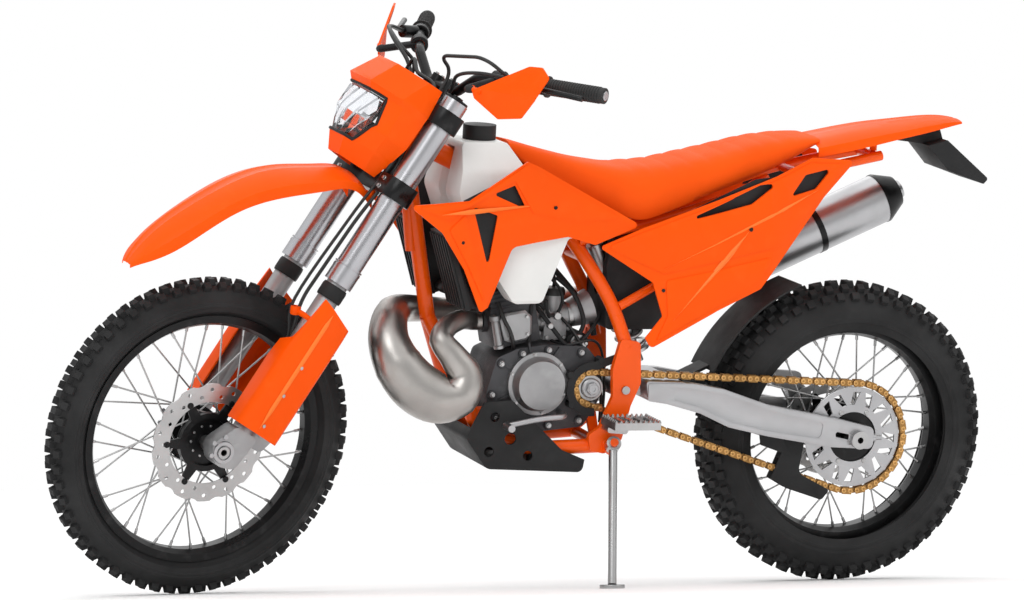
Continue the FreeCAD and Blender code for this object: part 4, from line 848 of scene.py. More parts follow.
@dataclass
class Studio:
    """Floor, lights, backdrop and camera."""

    camera_at: Point = (4716.8, 10485.1, 1810.3)
    pan: float = 159.57
    tilt: float = 6.08
    roll: float = 3.1
    focal_pixels: float = 5180.0
    raise_by: float = 2.6
    turn_about: Point = (745.0, 0.0, 640.0)
    shift: Point = (0.019, 0.016, 0.0)
    floor_size: float = 60.0

    def floor(self) -> None:
        """A pale floor that keeps the bike's shadow."""
        half = self.floor_size / 2
        mesh = bpy.data.meshes.new("studio_floor")
        mesh.from_pydata([(-half, -half, 0), (half, -half, 0), (half, half, 0), (-half, half, 0)],
                         [], [(0, 1, 2, 3)])
        floor = bpy.data.objects.new("studio_floor", mesh)
        bpy.context.scene.collection.objects.link(floor)
        paper = Finish("floor_paper", (0.93, 0.93, 0.93), 0.95, specular=0.1, mottle=0.01,
                       scuff=0.0, grain=Grain.PLAIN)
        mesh.materials.append(paper.material())

    def backdrop(self) -> None:
        """A white surround for the camera and for reflections, and a softer one as light."""
        world = bpy.data.worlds.new("studio")
        bpy.context.scene.world = world
        world.use_nodes = True
        tree = world.node_tree
        tree.nodes.clear()
        direction = add_node(tree, "ShaderNodeTexCoord").outputs["Generated"]
        height = add_node(tree, "ShaderNodeSeparateXYZ", {0: direction}).outputs["Z"]
        rise = add_node(tree, "ShaderNodeMapRange",
                        {"Value": height, "To Min": 0.36, "To Max": 1.62})
        light = add_node(tree, "ShaderNodeBackground",
                         {"Color": WHITE, "Strength": rise.outputs[0]})
        seen = add_node(tree, "ShaderNodeBackground", {"Color": WHITE, "Strength": 1.0})
        ray = add_node(tree, "ShaderNodeLightPath").outputs["Is Camera Ray"]
        mix = add_node(tree, "ShaderNodeMixShader",
                       {0: ray, 1: light.outputs[0], 2: seen.outputs[0]})
        add_node(tree, "ShaderNodeOutputWorld", {"Surface": mix.outputs[0]})

    def lamp(self, name: str, at: Point, size: float, power: float, aim: Point) -> None:
        """A square soft lamp."""
        data = bpy.data.lights.new(name, "AREA")
        data.shape = "SQUARE"
        data.size = size
        data.energy = power
        lamp = bpy.data.objects.new(name, data)
        bpy.context.scene.collection.objects.link(lamp)
        lamp.location = at
        lamp.rotation_mode = "QUATERNION"
        lamp.rotation_quaternion = (Vector(aim) - Vector(at)).to_track_quat("-Z", "Y")

    def camera(self) -> None:
        """A camera placed as the photograph was taken, kept just over the floor."""
        pan = math.radians(self.pan)
        tilt = math.radians(self.tilt)
        look = -Vector((math.sin(pan) * math.cos(tilt), -math.cos(pan) * math.cos(tilt),
                        math.sin(tilt)))
        right = look.cross(Vector((0, 0, 1))).normalized()
        up = right.cross(look)
        roll = math.radians(self.roll)
        rolled_right = right * math.cos(roll) + up * math.sin(roll)
        rolled_up = up * math.cos(roll) - right * math.sin(roll)
        at = STANCE.world(self.camera_at)
        back = -STANCE.direction(look)
        turned = [STANCE.direction(rolled_right), STANCE.direction(rolled_up), back]
        rotation = Matrix(turned).transposed()
        aim = STANCE.world(self.turn_about)
        level = Vector((-back.y, back.x, 0.0)).normalized()
        lift = Matrix.Rotation(math.radians(-self.raise_by), 3, level)
        at = aim + lift @ (at - aim)
        rotation = lift @ rotation
        at += rotation @ Vector(self.shift)
        data = bpy.data.cameras.new("photo_camera")
        data.sensor_width = 36.0
        data.lens = self.focal_pixels * data.sensor_width / IMAGE_WIDTH
        data.clip_end = 100.0
        camera = bpy.data.objects.new("photo_camera", data)
        bpy.context.scene.collection.objects.link(camera)
        camera.matrix_world = Matrix.Translation(at) @ rotation.to_4x4()
        bpy.context.scene.camera = camera
        LOG.info("camera %.2f m over the floor", at.z)

    def build(self) -> None:
        """Sets the studio up."""
        self.floor()
        self.backdrop()
        self.lamp("key", (3.5, 5.0, 4.5), 3.0, 95.0, (0.0, 0.0, 0.5))
        self.lamp("fill", (-4.5, 4.5, 2.8), 3.5, 20.0, (0.0, 0.0, 0.6))
        self.lamp("rim", (-1.0, -4.5, 4.0), 3.0, 25.0, (0.0, 0.0, 0.7))
        bpy.context.scene.view_settings.view_transform = "Standard"
        self.camera()


def dress_nodes() -> None:
    """Gives each CAD node its finish and rounds the edges of moulded and cast ones."""
    for name, node in frame["nodes"].items():
        finish = NODE_FINISHES.get(name, BLACK_PLASTIC)
        if not node.material_slots:
            node.data.materials.append(finish.material())
        for place in node.material_slots:
            place.material = finish.material()
        Shading.dress(node, EDGE_ROUNDING.get(name, 0.0))
    LOG.info("%d nodes dressed", len(frame["nodes"]))


def build_tyres() -> None:
    """Both knobby tyres."""
    front_rows = (KnobRow(0, 0.025, 0.014, 0), KnobRow(38, 0.015, 0.016, 0.5),
                  KnobRow(-38, 0.015, 0.016, 0.5))
    rear_rows = (KnobRow(0, 0.034, 0.016, 0), KnobRow(29, 0.018, 0.017, 0.5),
                 KnobRow(-29, 0.018, 0.017, 0.5), KnobRow(51, 0.017, 0.018, 0),
                 KnobRow(-51, 0.017, 0.018, 0))
    KnobbyTyre("front_tyre", FRONT, 0.35, 0.046, 0.262, 0.027, 16.15, 60, front_rows).build()
    KnobbyTyre("rear_tyre", REAR, 0.34, 0.072, 0.232, 0.035, 11.0, 54, rear_rows).build()


@dataclass
class Exhaust:
    """The rolled expansion chamber as one smooth skin with weld beads."""

    welds: tuple[int, ...] = (5, 8, 11, 14, 17)
    weld_height: float = 1.2
    segments: int = 40
    steps: int = 5

    def knots(self) -> list[Vector]:
        """Places in upright millimetres, each with its radius, from barrel to silencer."""
        rows = [
            (862.3, 0, 590, 20), (882, 0, 590, 20), (902, 16, 595, 21), (928, 48, 600, 22),
            (968, 82, 590, 23), (988, 106, 566, 26), (962, 118, 530, 31), (938, 123, 492, 39),
            (950, 124, 452, 48), (994, 112, 442, 56), (1040, 98, 466, 57), (1076, 84, 510, 52),
            (1092, 64, 556, 45), (1084, 34, 592, 40), (1062, -4, 608, 36), (1028, -48, 610, 31),
            (968, -80, 604, 28), (890, -92, 600, 26), (760, -94, 604, 23), (660, -104, 614, 21),
            (600, -116, 628, 20), (480, -116, 646, 20), (360, -116, 658, 21),
            (262, -127, 673.6, 24), (236.4, -127.7, 685, 26),
        ]
        return [Vector(row) for row in rows]

    def build(self) -> None:
        """The skin, which stands for the CAD chamber, with its weld beads in it."""
        line = smooth_line(self.knots(), self.steps)
        for index in self.welds:
            line[index * self.steps].w += self.weld_height
        store = MeshStore()
        points: list[Vector] = []
        side = None
        for index, knot in enumerate(line):
            before = line[max(index - 1, 0)].xyz
            after = line[min(index + 1, len(line) - 1)].xyz
            along = (after - before).normalized()
            side = along.orthogonal() if side is None else side - along * side.dot(along)
            side.normalize()
            for out in Workshop.spokes(side, along.cross(side), self.segments):
                points.append(STANCE.world(tuple(knot.xyz + out * knot.w)))
        store.add(points, Workshop.skin(self.segments, len(line)))
        skin = store.piece("chamber_skin", ROLLED_STEEL, Body.CHASSIS, "pipe_steel", 50.0)
        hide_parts("expansion_chamber")


@dataclass
class BoltSet:
    """Like bolts on one body, each a flanged hexagon head."""

    name: str
    body: Body
    finish: Finish
    slot: str
    radius: float
    height: float
    steered: bool = False
    places: tuple[tuple[Point, Point], ...] = ()

    def build(self) -> None:
        """All the heads as one piece."""
        store = MeshStore()
        at = STANCE.steered if self.steered else STANCE.world
        facing = STANCE.steered_direction if self.steered else STANCE.direction
        for point, out in self.places:
            axis = facing(out)
            base = at(point)
            store.prism(base - axis * 0.001, axis, self.radius * 1.35, self.height * 0.35, 20,
                        self.radius * 0.12)
            store.prism(base, axis, self.radius, self.height, 6, self.radius * 0.1)
        store.piece(self.name, self.finish, self.body, self.slot)


class Engine:
    """Castings, covers, clamps, hoses and the radiators' bars."""

    @staticmethod
    def barrel_place(along: float, across: float, up: float) -> Point:
        """Upright place given in the leaning cylinder's own directions."""
        sine, _, cosine = CYLINDER_UP
        return (CYLINDER_FOOT[0] + along * cosine + up * sine, across,
                CYLINDER_FOOT[1] - along * sine + up * cosine)

    @classmethod
    def barrel_world(cls, along: float, across: float, up: float) -> Vector:
        """Parked place given in the leaning cylinder's own directions."""
        return STANCE.world(cls.barrel_place(along, across, up))

    @staticmethod
    def arc(centre: tuple[float, float], radius: float, start: float, end: float,
            steps: int) -> Outline:
        """Places on an arc seen from the side, with angles in degrees."""
        angles = [math.radians(start + (end - start) * i / steps) for i in range(steps + 1)]
        return [(centre[0] + radius * math.cos(a), centre[1] + radius * math.sin(a))
                for a in angles]

    @classmethod
    def disc(cls, x: float, z: float, radius: float, sides: int = 12) -> Outline:
        """A round or many-sided outline seen from the side."""
        return cls.arc((x, z), radius, 0, 360 - 360 / sides, sides - 1)

    @classmethod
    def case(cls) -> None:
        """Bosses, webs and bolts on both sides of the crankcase."""
        dark = MeshStore()
        places = []
        for x, z in ((622, 418), (650, 382), (720, 372), (796, 366), (842, 388), (854, 440),
                     (836, 508), (788, 530), (728, 538), (652, 532), (616, 494)):
            dark.plate(cls.disc(x, z, 10), 71, 78, 1.5)
            dark.plate(cls.disc(x, z, 10), -85, -91, 1.5)
            places += [((x, 78, z), (0, 1, 0)), ((x, -91, z), (0, -1, 0))]
        for angle in (28, 75, 122, 205, 246, 292, 338):
            turn = math.radians(angle)
            ahead, up = math.cos(turn), math.sin(turn)
            strip = []
            for radius, half in ((66, -3), (66, 3), (92, 2), (92, -2)):
                strip.append((IGNITION[0] + ahead * radius - up * half,
                              IGNITION[1] + up * radius + ahead * half))
            dark.plate(strip, 71, 76.5, 1.2)
        dark.piece("case_bosses", CAST_DARK, Body.CHASSIS, "engine_alloy")
        BoltSet("case_bolts", Body.CHASSIS, PLATED_STEEL, "bolt_steel", 0.0045, 0.005,
                places=tuple(places)).build()

    @classmethod
    def sprocket_guard(cls) -> None:
        """The black guard round the front sprocket and the sprocket's bright nut."""
        hub = FRONT_SPROCKET
        guard = MeshStore()
        outline = cls.arc(hub, 60, -98, 92, 20) + [(600, 524), (548, 542), (544, 526), (598, 506)]
        outline += cls.arc(hub, 43, 100, -98, 20)
        guard.plate(outline, 93, 97)
        for x, z in ((682, 486), (676, 420), (612, 517)):
            guard.plate(cls.disc(x, z, 8), 71, 98, 1.0)
        guard.piece("sprocket_guard", BLACK_PLASTIC, Body.CHASSIS, "black_plastic")
        nut = MeshStore()
        nut.lathe(STANCE.world((hub[0], 87.2, hub[1])), LEFT,
                  [(0.009, 0), (0.022, 0), (0.022, 0.002), (0.0195, 0.0045), (0.009, 0.0045)], 40)
        nut.prism(STANCE.world((hub[0], 91, hub[1])), LEFT, 0.0145, 0.009, 6, 0.0012)
        nut.lathe(STANCE.world((hub[0], 99.5, hub[1])), LEFT,
                  [(0.0052, 0), (0.0105, 0), (0.0098, 0.002), (0.0052, 0.002)], 32)
        nut.piece("sprocket_nut", SATIN_ALLOY, Body.CHASSIS, "bolt_steel")

    @classmethod
    def barrel(cls) -> None:
        """Power valve cover and tube, head ribs, head bolts and the plug's cap."""
        bright = MeshStore()
        dark = MeshStore()
        black = MeshStore()
        places = []
        form = [(-30, 18), (-37, 56), (-24, 72), (22, 74), (37, 62), (33, 16), (18, 8), (-18, 8)]
        for side in (1, -1):
            rings = []
            for out, share in ((53, 1.0), (62, 1.0), (66, 0.86)):
                rings.append([cls.barrel_world(u * share, side * out, 40 + (w - 40) * share)
                              for u, w in form])
            bright.add(rings[0] + rings[1] + rings[2], Workshop.skin(len(form), 3))
            for u, w in ((-24, 58), (24, 60), (22, 20), (-20, 20)):
                places.append((cls.barrel_place(u, side * 65.5, w), (0, side, 0)))
        up = STANCE.direction(CYLINDER_UP)
        foot = cls.barrel_world(47, 61, 2)
        bright.lathe(foot, up, [(0.001, 0), (0.0115, 0), (0.0115, 0.006), (0.0085, 0.008),
                                (0.0085, 0.060), (0.0115, 0.062), (0.0115, 0.072), (0.001, 0.076)],
                     28)
        for low in (84, 94, 104, 114):
            ring = [(-50.5, -52.5), (50.5, -52.5), (50.5, 52.5), (-50.5, 52.5)]
            dark.slab([cls.barrel_world(u, v, low) for u, v in ring],
                      [cls.barrel_world(u, v, low + 4) for u, v in ring])
        for u in (-36, 36):
            for v in (-38, 38):
                places.append((cls.barrel_place(u, v, 123), CYLINDER_UP))
        black.prism(cls.barrel_world(0, 0, 134), up, 0.0115, 0.034, 24, 0.002)
        top = cls.barrel_place(0, 0, 166)
        black.hose([top, (top[0] - 8, 4, top[2] + 18), (790, 30, 742), (752, 42, 716),
                    (716, 40, 690)], 3.5)
        bright.piece("power_valve_covers", CAST_LIGHT, Body.CHASSIS, "cover_alloy", 35.0)
        dark.piece("head_ribs", CAST_DARK, Body.CHASSIS, "engine_alloy")
        black.piece("plug_cap", HOSE_RUBBER, Body.CHASSIS, "hose_rubber")
        BoltSet("barrel_bolts", Body.CHASSIS, PLATED_STEEL, "bolt_steel", 0.004, 0.005,
                places=tuple(places)).build()

    @classmethod
    def carburettor(cls) -> None:
        """Clamps, screws and cap of the carburettor, with its cable and hoses."""
        bright = MeshStore()
        black = MeshStore()
        throat = Vector((756.0, 0.0, 589.0))
        along = (Vector((655.0, 0.0, 606.0)) - throat).normalized()
        axis = STANCE.direction(tuple(along))
        for place, radius in ((24, 0.0290), (90, 0.0305)):
            at = STANCE.world(tuple(throat + along * place))
            bright.collar(at, axis, radius - 0.003, radius, 0.009, 40)
            screw = throat + along * (place + 4.5)
            bright.plate(cls.disc(screw.x, screw.z - radius * 1000, 5, 6), -8, 14, 0.8)
        for x, z in ((678, 558), (718, 558), (678, 590), (718, 590)):
            bright.plate(cls.disc(x, z, 4.5, 6), 25, 31, 0.8)
        bright.plate(cls.disc(698, 606, 9), 22, 40, 1.5)
        bright.plate(cls.disc(730, 600, 7), 22, 38, 1.5)
        drain = STANCE.world((698, 0, 545))
        bright.prism(drain, UP, 0.011, 0.009, 6, 0.001)
        black.lathe(STANCE.world((697, 0, 648)), UP,
                    [(0.0235, 0), (0.0262, 0), (0.0262, 0.010), (0.0235, 0.016), (0.004, 0.018),
                     (0.004, 0)], 40)
        for path, radius in (
                ([(697, 0, 664), (698, 6, 682), (716, 26, 702), (752, 34, 712),
                  (800, 34, 742)], 4.0),
                ([(744, 84, 648), (738, 70, 630), (724, 52, 612), (706, 36, 608),
                  (698, 27, 606)], 4.0),
                ([(684, 26, 600), (664, 50, 574), (650, 62, 548), (634, 60, 520),
                  (606, 54, 500), (592, 50, 440), (590, 46, 372)], 3.5),
                ([(706, 20, 552), (690, 58, 546), (660, 66, 552), (622, 62, 556),
                  (598, 56, 530), (586, 52, 460), (584, 46, 380)], 3.0),
                ([(846, 60, 640), (838, 74, 610), (822, 78, 580), (812, 74, 556),
                  (806, 60, 540)], 4.5)):
            black.hose(path, radius)
        bright.piece("carburettor_clamps", PLATED_STEEL, Body.CHASSIS, "bolt_steel")
        black.piece("engine_hoses", HOSE_RUBBER, Body.CHASSIS, "hose_rubber", 50.0)

    @staticmethod
    def radiator_bars() -> None:
        """Upright black bars over the radiators' louvres."""
        bars = MeshStore()
        strip = [(960.0, 644.0), (1007.5, 796.0), (1013.0, 794.5), (965.5, 642.5)]
        for side in (1, -1):
            for index in range(7):
                y = 64 + 16.2 * index
                bars.plate(strip, side * y, side * (y + 5), 1.0)
        bars.piece("radiator_bars", BLACK_PLASTIC, Body.CHASSIS, "black_plastic")

    @staticmethod
    def peg_teeth() -> None:
        """Saw teeth round the top of each footpeg."""
        teeth = MeshStore()
        edge = [(518.5 + 11.2 * i, y) for i in range(10) for y in (139.5, 218.5)]
        edge += [(x, 150.5 + 11.4 * i) for i in range(6) for x in (519.5, 618.5)]
        for x, y in edge:
            for side in (1, -1):
                low = [(x - 3.5, y - 3), (x + 3.5, y - 3), (x + 3.5, y + 3), (x - 3.5, y + 3)]
                high = [(x - 1, y - 1.5), (x + 1, y - 1.5), (x + 1, y + 1.5), (x - 1, y + 1.5)]
                teeth.block([STANCE.world((a, side * b, 401.5)) for a, b in low]
                            + [STANCE.world((a, side * b, 407.5)) for a, b in high])
        teeth.piece("peg_teeth", PLATED_STEEL, Body.CHASSIS, "bolt_steel")

    @classmethod
    def service_parts(cls) -> None:
        """Starter motor, service hoses and their fittings behind the barrel."""
        black = MeshStore()
        bright = MeshStore()
        black.prism(STANCE.world((650, -48, 548)), LEFT, 0.025, 0.094, 40, 0.004)
        bright.prism(STANCE.world((650, 46, 548)), LEFT, 0.019, 0.004, 32, 0.001)
        for x, z in ((634, 548), (666, 548)):
            bright.prism(STANCE.world((x, 48, z)), LEFT, 0.0042, 0.006, 6, 0.0008)
        black.prism(STANCE.world((760, 40, 706)), -UP, 0.009, 0.022, 24, 0.002)
        for path, radius in (
                ([(759, 40, 690), (756, 44, 650), (728, 44, 618), (716, 34, 604)], 4.0),
                ([(770, 30, 700), (766, 52, 640), (772, 58, 585), (768, 60, 545)], 4.5),
                ([(758, 34, 640), (722, 56, 590), (678, 62, 540), (640, 64, 520)], 5.0),
                ([(700, 20, 690), (664, 40, 655), (640, 44, 600), (646, 40, 566)], 5.0),
                ([(690, -20, 700), (648, 0, 650), (612, 10, 600), (604, 20, 560)], 6.5),
                ([(668, 60, 528), (640, 56, 560), (610, 40, 590), (590, 20, 620)], 4.0),
                ([(738, 12, 708), (700, 34, 672), (690, 40, 640), (700, 32, 606)], 3.5)):
            black.hose(path, radius)
        for x, y, z in ((728, 45, 618), (756, 44, 655), (722, 57, 588)):
            bright.prism(STANCE.world((x, y - 6, z)), LEFT, 0.0065, 0.012, 20, 0.001)
        black.piece("service_parts", BLACK_PLASTIC, Body.CHASSIS, "black_plastic")
        bright.piece("service_fittings", PLATED_STEEL, Body.CHASSIS, "bolt_steel")

    @classmethod
    def build(cls) -> None:
        """All of the engine's trim."""
        cls.case()
        cls.sprocket_guard()
        cls.barrel()
        cls.carburettor()
        cls.radiator_bars()
        cls.peg_teeth()
        cls.service_parts()


@dataclass
class SpokeNipples:
    """A nipple at the rim end of each spoke."""

    name: str
    wheel: Wheel
    flange_r: float
    hub_half: float
    rim_in: float
    count: int = 36

    def build(self) -> None:
        """All the wheel's nipples as one piece."""
        centre, across, up, ahead = self.wheel.axes()
        store = MeshStore()
        for index in range(self.count):
            side = 1 if index % 2 else -1
            lead = 1 if (index // 2) % 2 else -1
            out_angle = 2 * math.pi * index / self.count
            in_angle = out_angle + lead * math.radians(58)
            in_r = self.flange_r - 0.5
            start = (ahead * (in_r * math.cos(in_angle)) + up * (in_r * math.sin(in_angle))
                     + across * (side * (self.hub_half - 8 + lead * 3.9)))
            end = (ahead * (self.rim_in * math.cos(out_angle))
                   + up * (self.rim_in * math.sin(out_angle))
                   + across * (side * (7 + lead * 3.5)))
            axis = (start - end).normalized()
            store.prism(centre + (end - axis * 1.0) * MM, axis, 0.0034, 0.013, 8, 0.0006)
        store.piece(self.name, PLATED_STEEL, self.wheel.body, "spoke_steel")


class Trim:
    """Small fittings: bands, boots, chain pins, ribs, hoses, lamp insides, liners and bolts."""

    @staticmethod
    def fork_point(along: float, ahead: float, side: float) -> Point:
        """Upright place given up the head axis, ahead of it and to its left, in millimetres."""
        return (HEAD[0] + FORK_UP[0] * along + FORK_AHEAD[0] * ahead, side,
                HEAD[1] + FORK_UP[2] * along + FORK_AHEAD[2] * ahead)

    @classmethod
    def on_fork(cls, along: float, ahead: float, side: float) -> Vector:
        """Parked place given up the head axis, ahead of it and to its left."""
        return STANCE.steered(cls.fork_point(along, ahead, side))

    @classmethod
    def bar_middle(cls) -> Vector:
        """Upright middle of the handlebar."""
        return Vector(cls.fork_point(224, 10, 0))

    @classmethod
    def collars(cls) -> None:
        """Bands on the fork's tubes and the caps in their tops."""
        axis = STANCE.steered_direction(FORK_UP)
        black = MeshStore()
        bright = MeshStore()
        for side in (FORK_HALF, -FORK_HALF):
            for along, radius, length in ((-216, 32.6, 3), (-224, 32.6, 3), (-60, 29.6, 5)):
                at = cls.on_fork(along, CLAMP_OFFSET, side)
                bright.collar(at, axis, 0.0288, radius * MM, length * MM, 48)
            cap = cls.on_fork(205, CLAMP_OFFSET, side)
            black.prism(cap, axis, 0.027, 0.006, 40, 0.001)
            black.prism(cap + axis * 0.005, axis, 0.012, 0.006, 6, 0.0008)
        black.piece("fork_seals", BLACK_ALLOY, Body.STEERING, "black_alloy")
        bright.piece("fork_bands", FORK_ALLOY, Body.STEERING, "fork_alloy")

    @staticmethod
    def chain_pins() -> None:
        """Round heads of the chain's links, with their pins, all along its run."""
        radius = {k: CHAIN_PITCH / (2 * math.sin(math.pi / n)) for k, n in CHAIN_TEETH.items()}
        centre = {"front": Vector((FRONT_SPROCKET[0], 0.0, FRONT_SPROCKET[1])),
                  "rear": Vector((0.0, 0.0, STANCE.rear_axle_height))}
        line = centre["front"] - centre["rear"]
        spread = math.asin((radius["rear"] - radius["front"]) / line.length)
        base = math.atan2(line.z, line.x)
        top, low = base + math.pi / 2 - spread, base - math.pi / 2 + spread

        def at(end: str, angle: float) -> Vector:
            """A point of a sprocket's pitch circle."""
            return centre[end] + Vector((math.cos(angle), 0, math.sin(angle))) * radius[end]

        run = (at("front", low) - at("rear", low)).length
        sections = (
            ((2 * math.pi - top + low) * radius["rear"],
             lambda way: at("rear", top + way / radius["rear"])),
            (run, lambda way: at("rear", low).lerp(at("front", low), way / run)),
            ((top - low) * radius["front"], lambda way: at("front", low + way / radius["front"])),
            (run, lambda way: at("front", top).lerp(at("rear", top), way / run)))
        total = sum(length for length, _ in sections)
        links = 2 * round(total / CHAIN_PITCH / 2)
        store = MeshStore()
        dots = MeshStore()
        for index in range(links):
            way = (index + 0.5) * total / links
            for length, place_at in sections:
                if way < length:
                    break
                way -= length
            place = place_at(way)
            for side in (1, -1):
                head = STANCE.world((place.x, CHAIN_Y + side * 7.5, place.z))
                store.prism(head, LEFT * side, 0.0058, 0.0021, 16, 0.0008)
                dots.prism(head + LEFT * side * 0.002, LEFT * side, 0.0024, 0.0009, 10, 0.0003)
        store.piece("chain_links", GOLD_LINK, Body.CHASSIS, "chain_gold")
        dots.piece("chain_pins", GOLD_STEEL, Body.CHASSIS, "chain_gold")

    @classmethod
    def lamp(cls) -> None:
        """The lamp's black bezel and the faceted reflector inside its lens."""
        columns = 9
        rows = [(18, 172, 46), (44, 178, 62), (70, 184, 78), (98, 184, 76), (126, 184, 74)]
        stations = [(-24, 148, 58), (18, 168, 86), (60, 176, 110), (128, 180, 113)]

        def skin(along: float, side: float) -> float:
            """How far ahead the mask's outer face lies."""
            front, half = (between(along, [(s[0], s[k]) for s in stations]) for k in (1, 2))
            return front - 60 * max(0.0, abs(side) - half * 0.42) / (half * 0.5)

        corners = [(17, -47), (17, 47), (70, 79), (127, 75), (127, -75), (70, -79)]
        loop = []
        for (a, v), (b, w) in zip(corners, corners[1:] + corners[:1]):
            for step in range(10):
                share = step / 10
                place = (a + (b - a) * share, v + (w - v) * share)
                loop.append(cls.on_fork(place[0], skin(*place) - 0.5, place[1]))
        bezel = MeshStore()
        bezel.tube(loop, 0.0036, 10, True)
        bezel.piece("lamp_bezel", BLACK_PLASTIC, Body.STEERING, "black_plastic", 50.0)
        store = MeshStore()
        points = []
        for index, (along, front, half) in enumerate(rows):
            for step in range(columns):
                v = (step - 4) / 4 * half * 0.86
                sunk = 16 + 9 * ((index + step) % 2)
                u = front - sunk - 14 * abs(v / half) ** 2
                points.append(cls.on_fork(along * 0.9 + 7, u, v))
        faces = [tuple(r * columns + k + i for i in (0, 1, columns + 1, columns))
                 for r in range(len(rows) - 1) for k in range(columns - 1)]
        store.add(points, faces)
        chrome = store.piece("lamp_reflector", REFLECTOR, Body.STEERING, "fork_alloy", None)
        thick = chrome.modifiers.new("thickness", "SOLIDIFY")
        thick.thickness = 0.0008

    @classmethod
    def grip_rings(cls) -> None:
        """Ribs round both grips and the bright plugs in their ends."""
        base = cls.bar_middle()
        rubber = MeshStore()
        bright = MeshStore()
        for side in (1, -1):
            end = base + Vector((-165, 401, 66))
            before = base + Vector((-62, 240, 60))
            end.y *= side
            before.y *= side
            along = (end - before).normalized()
            axis = STANCE.steered_direction(tuple(along))
            for step in range(19):
                at = STANCE.steered(tuple(end - along * (120 - 6.2 * step)))
                rubber.lathe(at, axis, [(0.0165, 0), (0.0181, 0.0004), (0.0181, 0.0026),
                                        (0.0165, 0.003)], 36)
            collar = STANCE.steered(tuple(end - along * 132))
            rubber.lathe(collar, axis, [(0.0165, 0), (0.023, 0), (0.023, 0.004), (0.0165, 0.005)],
                         40)
            plug = STANCE.steered(tuple(end + along * 5.6))
            bright.prism(plug, axis, 0.0105, 0.0035, 32, 0.0012)
        rubber.piece("grip_ribs", GRIP_RUBBER, Body.STEERING, "grip_rubber")
        bright.piece("bar_plugs", SATIN_ALLOY, Body.STEERING, "fork_alloy")

    @classmethod
    def dust_boots(cls) -> None:
        """Black dust seals under the fork tubes' ends."""
        store = MeshStore()
        for side in (1, -1):
            low = cls.on_fork(-296, CLAMP_OFFSET, side * FORK_HALF)
            high = cls.on_fork(-250, CLAMP_OFFSET, side * FORK_HALF)
            slope = (high - low).normalized()
            store.lathe(low, slope, [(0.0245, 0), (0.0275, 0), (0.0285, 0.006), (0.0285, 0.026),
                                     (0.027, 0.032), (0.0245, 0.032)], 40)
        store.piece("dust_boots", BLACK_PLASTIC, Body.STEERING, "black_plastic")

    @classmethod
    def fork_feet(cls) -> None:
        """Rings and pinch bolts of the axle clamps, and the guide of the brake hose."""
        centre, across, _, _ = FRONT.axes()
        up = STANCE.steered_direction(FORK_UP)
        ahead = STANCE.steered_direction(FORK_AHEAD)
        bright = MeshStore()
        guide = MeshStore()
        for side in (1, -1):
            out = across * side
            face = centre + out * 0.129
            bright.lathe(face, out, [(0.0165, 0), (0.025, 0), (0.0235, 0.004), (0.0165, 0.004)],
                         40)
            for along, reach in ((0.030, 0.016), (0.006, 0.031), (-0.019, 0.021)):
                at = face + up * along + ahead * reach
                bright.prism(at, out, 0.0058, 0.0045, 6, 0.0008)
            for rise in (0.026, 0.046):
                foot = centre + out * 0.105 + up * rise - ahead * 0.055
                bright.prism(foot, -ahead, 0.0068, 0.008, 24, 0.001)
        hose = cls.on_fork(-352, 55, 73)
        slope = (up * 0.85 + ahead * 0.5).normalized()
        guide.lathe(hose - slope * 0.009, slope, [(0.0055, 0), (0.0105, 0), (0.0115, 0.003),
                                                  (0.0115, 0.015), (0.0105, 0.018),
                                                  (0.0055, 0.018)], 28)
        guide.hose([cls.fork_point(-352, 50, 80), cls.fork_point(-352, 46, 100),
                    cls.fork_point(-354, 36, 128)], 6.5, True)
        bright.piece("axle_clamp_bolts", SATIN_ALLOY, Body.STEERING, "fork_alloy")
        guide.piece("hose_guide", ORANGE_PLASTIC, Body.STEERING, "orange_plastic", 40.0)

    @classmethod
    def spears(cls) -> None:
        """Raised pointed ridges on the side panels, the shrouds and the fork guards, coloured as a
        painted highlight.
        """
        lines = [(cls.side_y, (1,), (300, 812), (472, 612), 7.0),
                 (cls.side_y, (-1,), (300, 812), (392, 705), 7.0),
                 (cls.side_y, (1, -1), (128, 900), (498, 726), 5.0),
                 (cls.shroud_y, (1, -1), (1040, 852), (760, 868), 5.5)]
        store = MeshStore()
        for face_y, sides, (x_a, z_a), (x_b, z_b), width in lines:
            count = 12
            length = math.hypot(x_b - x_a, z_b - z_a)
            cross = (-(z_b - z_a) / length, (x_b - x_a) / length)
            for side in sides:
                rows = []
                for step in range(count + 1):
                    share = step / count
                    x, z = x_a + (x_b - x_a) * share, z_a + (z_b - z_a) * share
                    half = width * min(1.0, share * 4, (1 - share) * 1.4) + 0.05
                    out = face_y(x)
                    ridge = 1.2 + half * 0.35
                    for reach, rise in ((-half, -1.0), (0.0, ridge), (half, -1.0)):
                        rows.append(STANCE.world((x + cross[0] * reach, side * (out + rise),
                                                  z + cross[1] * reach)))
                faces = [(r * 3 + k, r * 3 + k + 1, r * 3 + k + 4, r * 3 + k + 3)
                         for r in range(count) for k in range(2)]
                faces += [(r * 3 + 2, r * 3, r * 3 + 3, r * 3 + 5) for r in range(count)]
                faces += [(0, 1, 2), (count * 3 + 2, count * 3 + 1, count * 3)]
                store.add(rows, faces)
        # The ridges take a lighter orange: painted highlight of the crease facets.
        store.piece("panel_spears", ORANGE_PAINTED_HIGHLIGHT, Body.CHASSIS, "orange_plastic", 12.0)
        store = MeshStore()
        for side in (1, -1):
            rows = []
            for along, half in ((-320, 0.4), (-345, 5.0), (-560, 5.0), (-606, 0.4)):
                for reach, rise in ((-half, 43.2), (0.0, 43.2 + half * 0.3), (half, 43.2)):
                    rows.append(cls.on_fork(along, 14 + reach, side * (FORK_HALF + rise)))
            store.add(rows, [(r * 3 + k, r * 3 + k + 1, r * 3 + k + 4, r * 3 + k + 3)
                             for r in range(3) for k in range(2)])
        # Painted highlight orange along the fork guards' creases.
        store.piece("guard_spears", ORANGE_PAINTED_HIGHLIGHT, Body.STEERING, "orange_plastic", 12.0)

